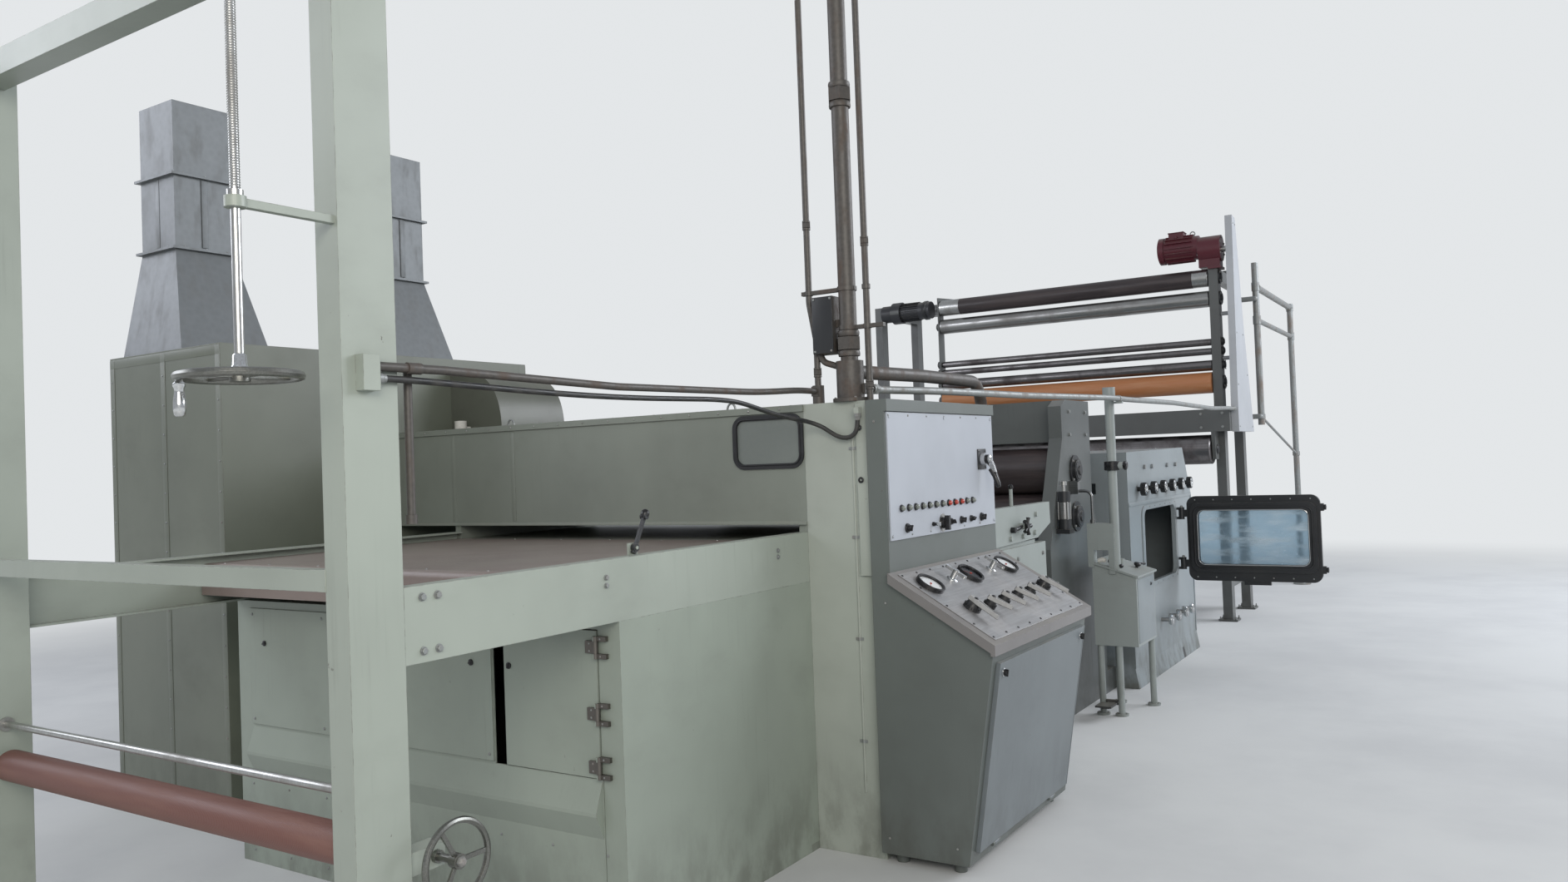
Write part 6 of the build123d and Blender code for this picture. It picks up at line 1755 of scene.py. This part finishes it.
def dressTower():
    face = tower["bearingFace"]
    depth = tower["bearingDepth"]
    bolts = []
    for z in tower["wideBearings"]:
        bolts += ringOf((face, depth, z), axisX, tower["boltCircle"], 4)
    scatter("towerBearingBolts", bolts, boltOf(7))
    wide = [frameTo((face, depth, z), axisX) for z in tower["wideBearings"]]
    narrow = [frameTo((face, depth, z), axisX) for z in tower["narrowBearings"]]
    x, y, z = tower["nips"]
    nips = [frameTo((side * x, y, z), axisX * side) for side in (-1, 1)]
    caps = (
        ("towerBearingCaps", wide, "wideCap", 32),
        ("towerThinCaps", narrow, "narrowCap", 28),
        ("nipCaps", nips, "nipCap", 32),
    )
    for name, places, outline, sides in caps:
        cap = turnedOf(tower[outline], sides)
        scatter(name, places, cap, "sprayedEnamelBlack", slot="bright_steel")
    across, along, top = tower["anchors"]
    feet = []
    for x, y in tower["legs"]:
        for side in (x - across, x + across):
            feet += rowOf((side, y - along, top), (side, y + along, top), 2, axisZ)
    scatter("towerAnchors", feet, boltOf(11, 22))
    y = tower["beamFace"]
    beam = [frameTo((x, y, z), -axisY, x + z) for x in tower["beamBolts"] for z in tower["beamRows"]]
    scatter("crossBeamBolts", beam, boltOf(12))
    guard = [frameTo((tower["guardFace"], y, z), axisX, y + z) for y, z in tower["guardScrews"]]
    scatter("guardScrews", guard, screwOf(8))

    def fins(shape):
        place = frameTo(tower["leftDrive"], axisX)
        for spoke in spokes(place, tower["fins"], tower["finReach"]):
            block(shape, tower["fin"], spoke, 0.6)
        turned(shape, tower["driveEnd"], place, 36)

    makePiece("leftDriveFins", fins, "sprayedEnamelBlack", slot="maroon_enamel")


# Gearmotor: the slotted fan cover, flange bolts, the lid of its terminal box and its eye bolt
gearmotor = {
    "depth": 6710,
    "motorHeight": 3365,
    "gearHeight": 3335,
    "fanEnd": 860,
    "fanRings": (16, 32, 48, 64, 80, 94),
    "fanRing": (3, 5, 8),
    "fanRim": [(120, -4), (116, 3), (96, 10), (96, 6)],
    "fanSpoke": (92, 7, 3),
    "fanSpokeSpot": (52, 0, 4),
    "flanges": ((1205, 100, -1), (1395, 98, 1)),
    "terminalLid": (1015, 6710, 3516),
    "lidSize": (142, 132, 7),
    "lidScrews": (60, 54),
    "gland": (0, -60, -46),
    "glandNut": [(14, 0), (14, 16), (10, 22), (0, 22)],
    "eye": (1150, 6710, 3495),
    "eyeRing": (20, 5),
}


def dressGearmotor():
    y = gearmotor["depth"]

    def fanCover(shape):
        place = frameTo((gearmotor["fanEnd"], y, gearmotor["motorHeight"]), -axisX)
        turned(shape, gearmotor["fanRim"], place, 48)
        half, back, front = gearmotor["fanRing"]
        for radius in gearmotor["fanRings"]:
            low = radius - half
            high = radius + half
            ring = [(low, back), (high, back), (high, front), (low, front), (low, back)]
            turned(shape, ring, place, 48)
        for spoke in spokes(place, 6, *gearmotor["fanSpokeSpot"]):
            block(shape, gearmotor["fanSpoke"], spoke, 0.6)

    makePiece("fanCover", fanCover, "sprayedEnamelMotor", slot="maroon_enamel")
    bolts = []
    for x, radius, side in gearmotor["flanges"]:
        bolts += ringOf((x, y, gearmotor["gearHeight"]), axisX * side, radius, 6)
    scatter("gearboxBolts", bolts, boltOf(10))

    def lid(shape):
        middle = Vector(gearmotor["terminalLid"])
        size = gearmotor["lidSize"]
        x, y = gearmotor["lidScrews"]
        block(shape, size, middle, 2)
        for across in (-x, x):
            for along in (-y, y):
                screwOf(5)(shape, Matrix.Translation(middle + Vector((across, along, size[2] / 2))))
        gland = frameTo(middle + Vector(gearmotor["gland"]), -axisY)
        turned(shape, gearmotor["glandNut"], gland, 6)

    makePiece("terminalLid", lid, "sprayedEnamelMotor", slot="maroon_enamel")

    def eye(shape):
        middle = Vector(gearmotor["eye"])
        radius, bar = gearmotor["eyeRing"]
        angles = [math.tau * step / 16 for step in range(16)]
        ring = [middle + Vector((radius * math.cos(angle), 0, radius * math.sin(angle))) for angle in angles]
        tubeAlong(shape, ring, bar, closed=True)

    makePiece("motorEyeBolt", eye, "dippedZincBolts", slot="bright_steel")


# Exit pipe frame: tee and elbow sockets, the foot's cone and its bolts
exitFrame = {
    "x": 1510,
    "near": 7620,
    "far": 9700,
    "top": 3075,
    "second": 2755,
    "socket": [(30, -42), (36, -40), (36, 40), (30, 42)],
    "collarReach": 40,
    "upperCollar": [(30, 0), (36, 0), (36, 36), (30, 40)],
    "lowerCollar": [(24, -6), (30, -6), (30, 30), (24, 34)],
    "joints": ((7620, 1830), (9700, 1450)),
    "joint": [(31, -24), (37, -22), (37, 22), (31, 24)],
    "foot": [(30, 14), (44, 14), (40, 22), (30, 34)],
    "footTop": 14,
    "boltCircle": 66,
}


def dressExitFrame():
    x = exitFrame["x"]
    near = exitFrame["near"]
    far = exitFrame["far"]

    def fittings(shape):
        rails = ((exitFrame["top"], "upperCollar"), (exitFrame["second"], "lowerCollar"))
        for y, way in ((near, 1), (far, -1)):
            for z, collar in rails:
                turned(shape, exitFrame["socket"], Matrix.Translation((x, y, z)), 28)
                place = frameTo((x, y + way * exitFrame["collarReach"], z), (0, way, 0))
                turned(shape, exitFrame[collar], place, 28)
        for y, z in exitFrame["joints"]:
            turned(shape, exitFrame["joint"], Matrix.Translation((x, y, z)), 28)
        turned(shape, exitFrame["foot"], Matrix.Translation((x, far, 0)), 32)

    makePiece("exitFrameFittings", fittings, "dippedZincExit", slot="galvanised")
    bolts = ringOf((x, far, exitFrame["footTop"]), axisZ, exitFrame["boltCircle"], 3)
    scatter("exitFootBolts", bolts, boltOf(10, 18))


stages = (
    dressEntryFrame,
    dressSpindle,
    dressAdjuster,
    dressTable,
    dressHousing,
    dressHood,
    dressPlenum,
    dressPost,
    dressPipes,
    dressDesk,
    dressLevers,
    dressBoard,
    dressCabinet,
    dressPadder,
    dressPedestal,
    dressWasher,
    dressInspectionDoor,
    dressTower,
    dressGearmotor,
    dressExitFrame,
)
for stage in stages:
    stage()
    print("finished", stage.__name__)

# Studio: a pale floor that fades into the backdrop, a soft sky and three lamps. Each lamp has its place,
# what it aims at and its size in metres, its power and its colour.
studio = {
    "floor": 0xD2D3D2,
    "floorDark": 0xC6C7C7,
    "floorPatch": 1600,
    "floorRough": 0.75,
    "floorHalf": 90,
    "middle": (0, 3.5, 0),
    "backdrop": 0xE9ECEE,
    "backdropLight": 0.95,
    "sky": 0xE4E9F0,
    "skyLight": 0.55,
    "fade": (7.0, 13.0),
    "lamps": {
        "windowLight": ((9, 9, 6), (0.5, 2, 1), (9, 5), 900, 0xF4F8FF),
        "aisleFill": ((6.5, -7, 4.5), (0.6, 0.5, 1), (6, 4), 420, 0xFFFAF2),
        "leftFill": ((-7, -4, 5.5), (0, 1, 1), (6, 4), 260, 0xF2F5FF),
    },
}


# Power-floated concrete, sealed with a matt coat. The eye gets broad pale clouds and no shine.
def makeFloor():
    data = bpy.data.meshes.new("floor")
    shape = bmesh.new()
    bmesh.ops.create_grid(shape, x_segments=1, y_segments=1, size=studio["floorHalf"])
    shape.to_mesh(data)
    shape.free()
    floor = bpy.data.objects.new("floor", data)
    bpy.context.scene.collection.objects.link(floor)
    material = bpy.data.materials.new("floatedConcrete")
    material.use_nodes = True
    tree = material.node_tree
    shader = tree.nodes["Principled BSDF"]
    shader.inputs["Roughness"].default_value = studio["floorRough"]
    clouds = patches(tree, (studio["floorPatch"],) * 3, 0.35, 0.7, 6)
    shades = [clouds, toLinear(studio["floor"]), toLinear(studio["floorDark"])]
    colour = addNode(tree, "Mix", shades, data_type="RGBA")
    tree.links.new(colour.outputs[2], shader.inputs["Base Color"])
    place = addNode(tree, "NewGeometry")
    reach = addNode(tree, "VectorMath", [place, studio["middle"]], operation="DISTANCE")
    away = addNode(tree, "MapRange", [reach, *studio["fade"]], interpolation_type="SMOOTHSTEP")
    path = addNode(tree, "LightPath")
    rays = [path.outputs["Is Camera Ray"], path.outputs["Is Glossy Ray"]]
    seen = addNode(tree, "Math", rays, operation="MAXIMUM")
    share = addNode(tree, "Math", [away, seen], operation="MULTIPLY")
    glow = addNode(tree, "Emission", [toLinear(studio["backdrop"]), studio["backdropLight"]])
    mixed = addNode(tree, "MixShader", [share, shader, glow])
    tree.links.new(mixed.outputs[0], tree.nodes["Material Output"].inputs["Surface"])
    data.materials.append(material)


def makeSky():
    world = bpy.data.worlds.new("studioSky")
    bpy.context.scene.world = world
    world.use_nodes = True
    tree = world.node_tree
    light = tree.nodes["Background"]
    light.inputs["Color"].default_value = toLinear(studio["sky"])
    light.inputs["Strength"].default_value = studio["skyLight"]
    shown = addNode(tree, "Background", [toLinear(studio["backdrop"]), studio["backdropLight"]])
    path = addNode(tree, "LightPath")
    rays = [path.outputs["Is Camera Ray"], path.outputs["Is Transmission Ray"]]
    seen = addNode(tree, "Math", rays, operation="MAXIMUM")
    mixed = addNode(tree, "MixShader", [seen, light, shown])
    tree.links.new(mixed.outputs[0], tree.nodes["World Output"].inputs["Surface"])


def makeLamp(name, place, aim, size, power, colour):
    data = bpy.data.lights.new(name, "AREA")
    data.shape = "RECTANGLE"
    data.size, data.size_y = size
    data.energy = power
    data.color = toLinear(colour)[:3]
    light = bpy.data.objects.new(name, data)
    bpy.context.scene.collection.objects.link(light)
    way = Vector(aim) - Vector(place)
    turn = way.to_track_quat("-Z", "Y").to_matrix().to_4x4()
    light.matrix_world = Matrix.Translation(place) @ turn


makeFloor()
makeSky()
for name, lamp in studio["lamps"].items():
    makeLamp(name, *lamp)
bpy.context.scene.view_settings.view_transform = "Standard"
print("studio ready")
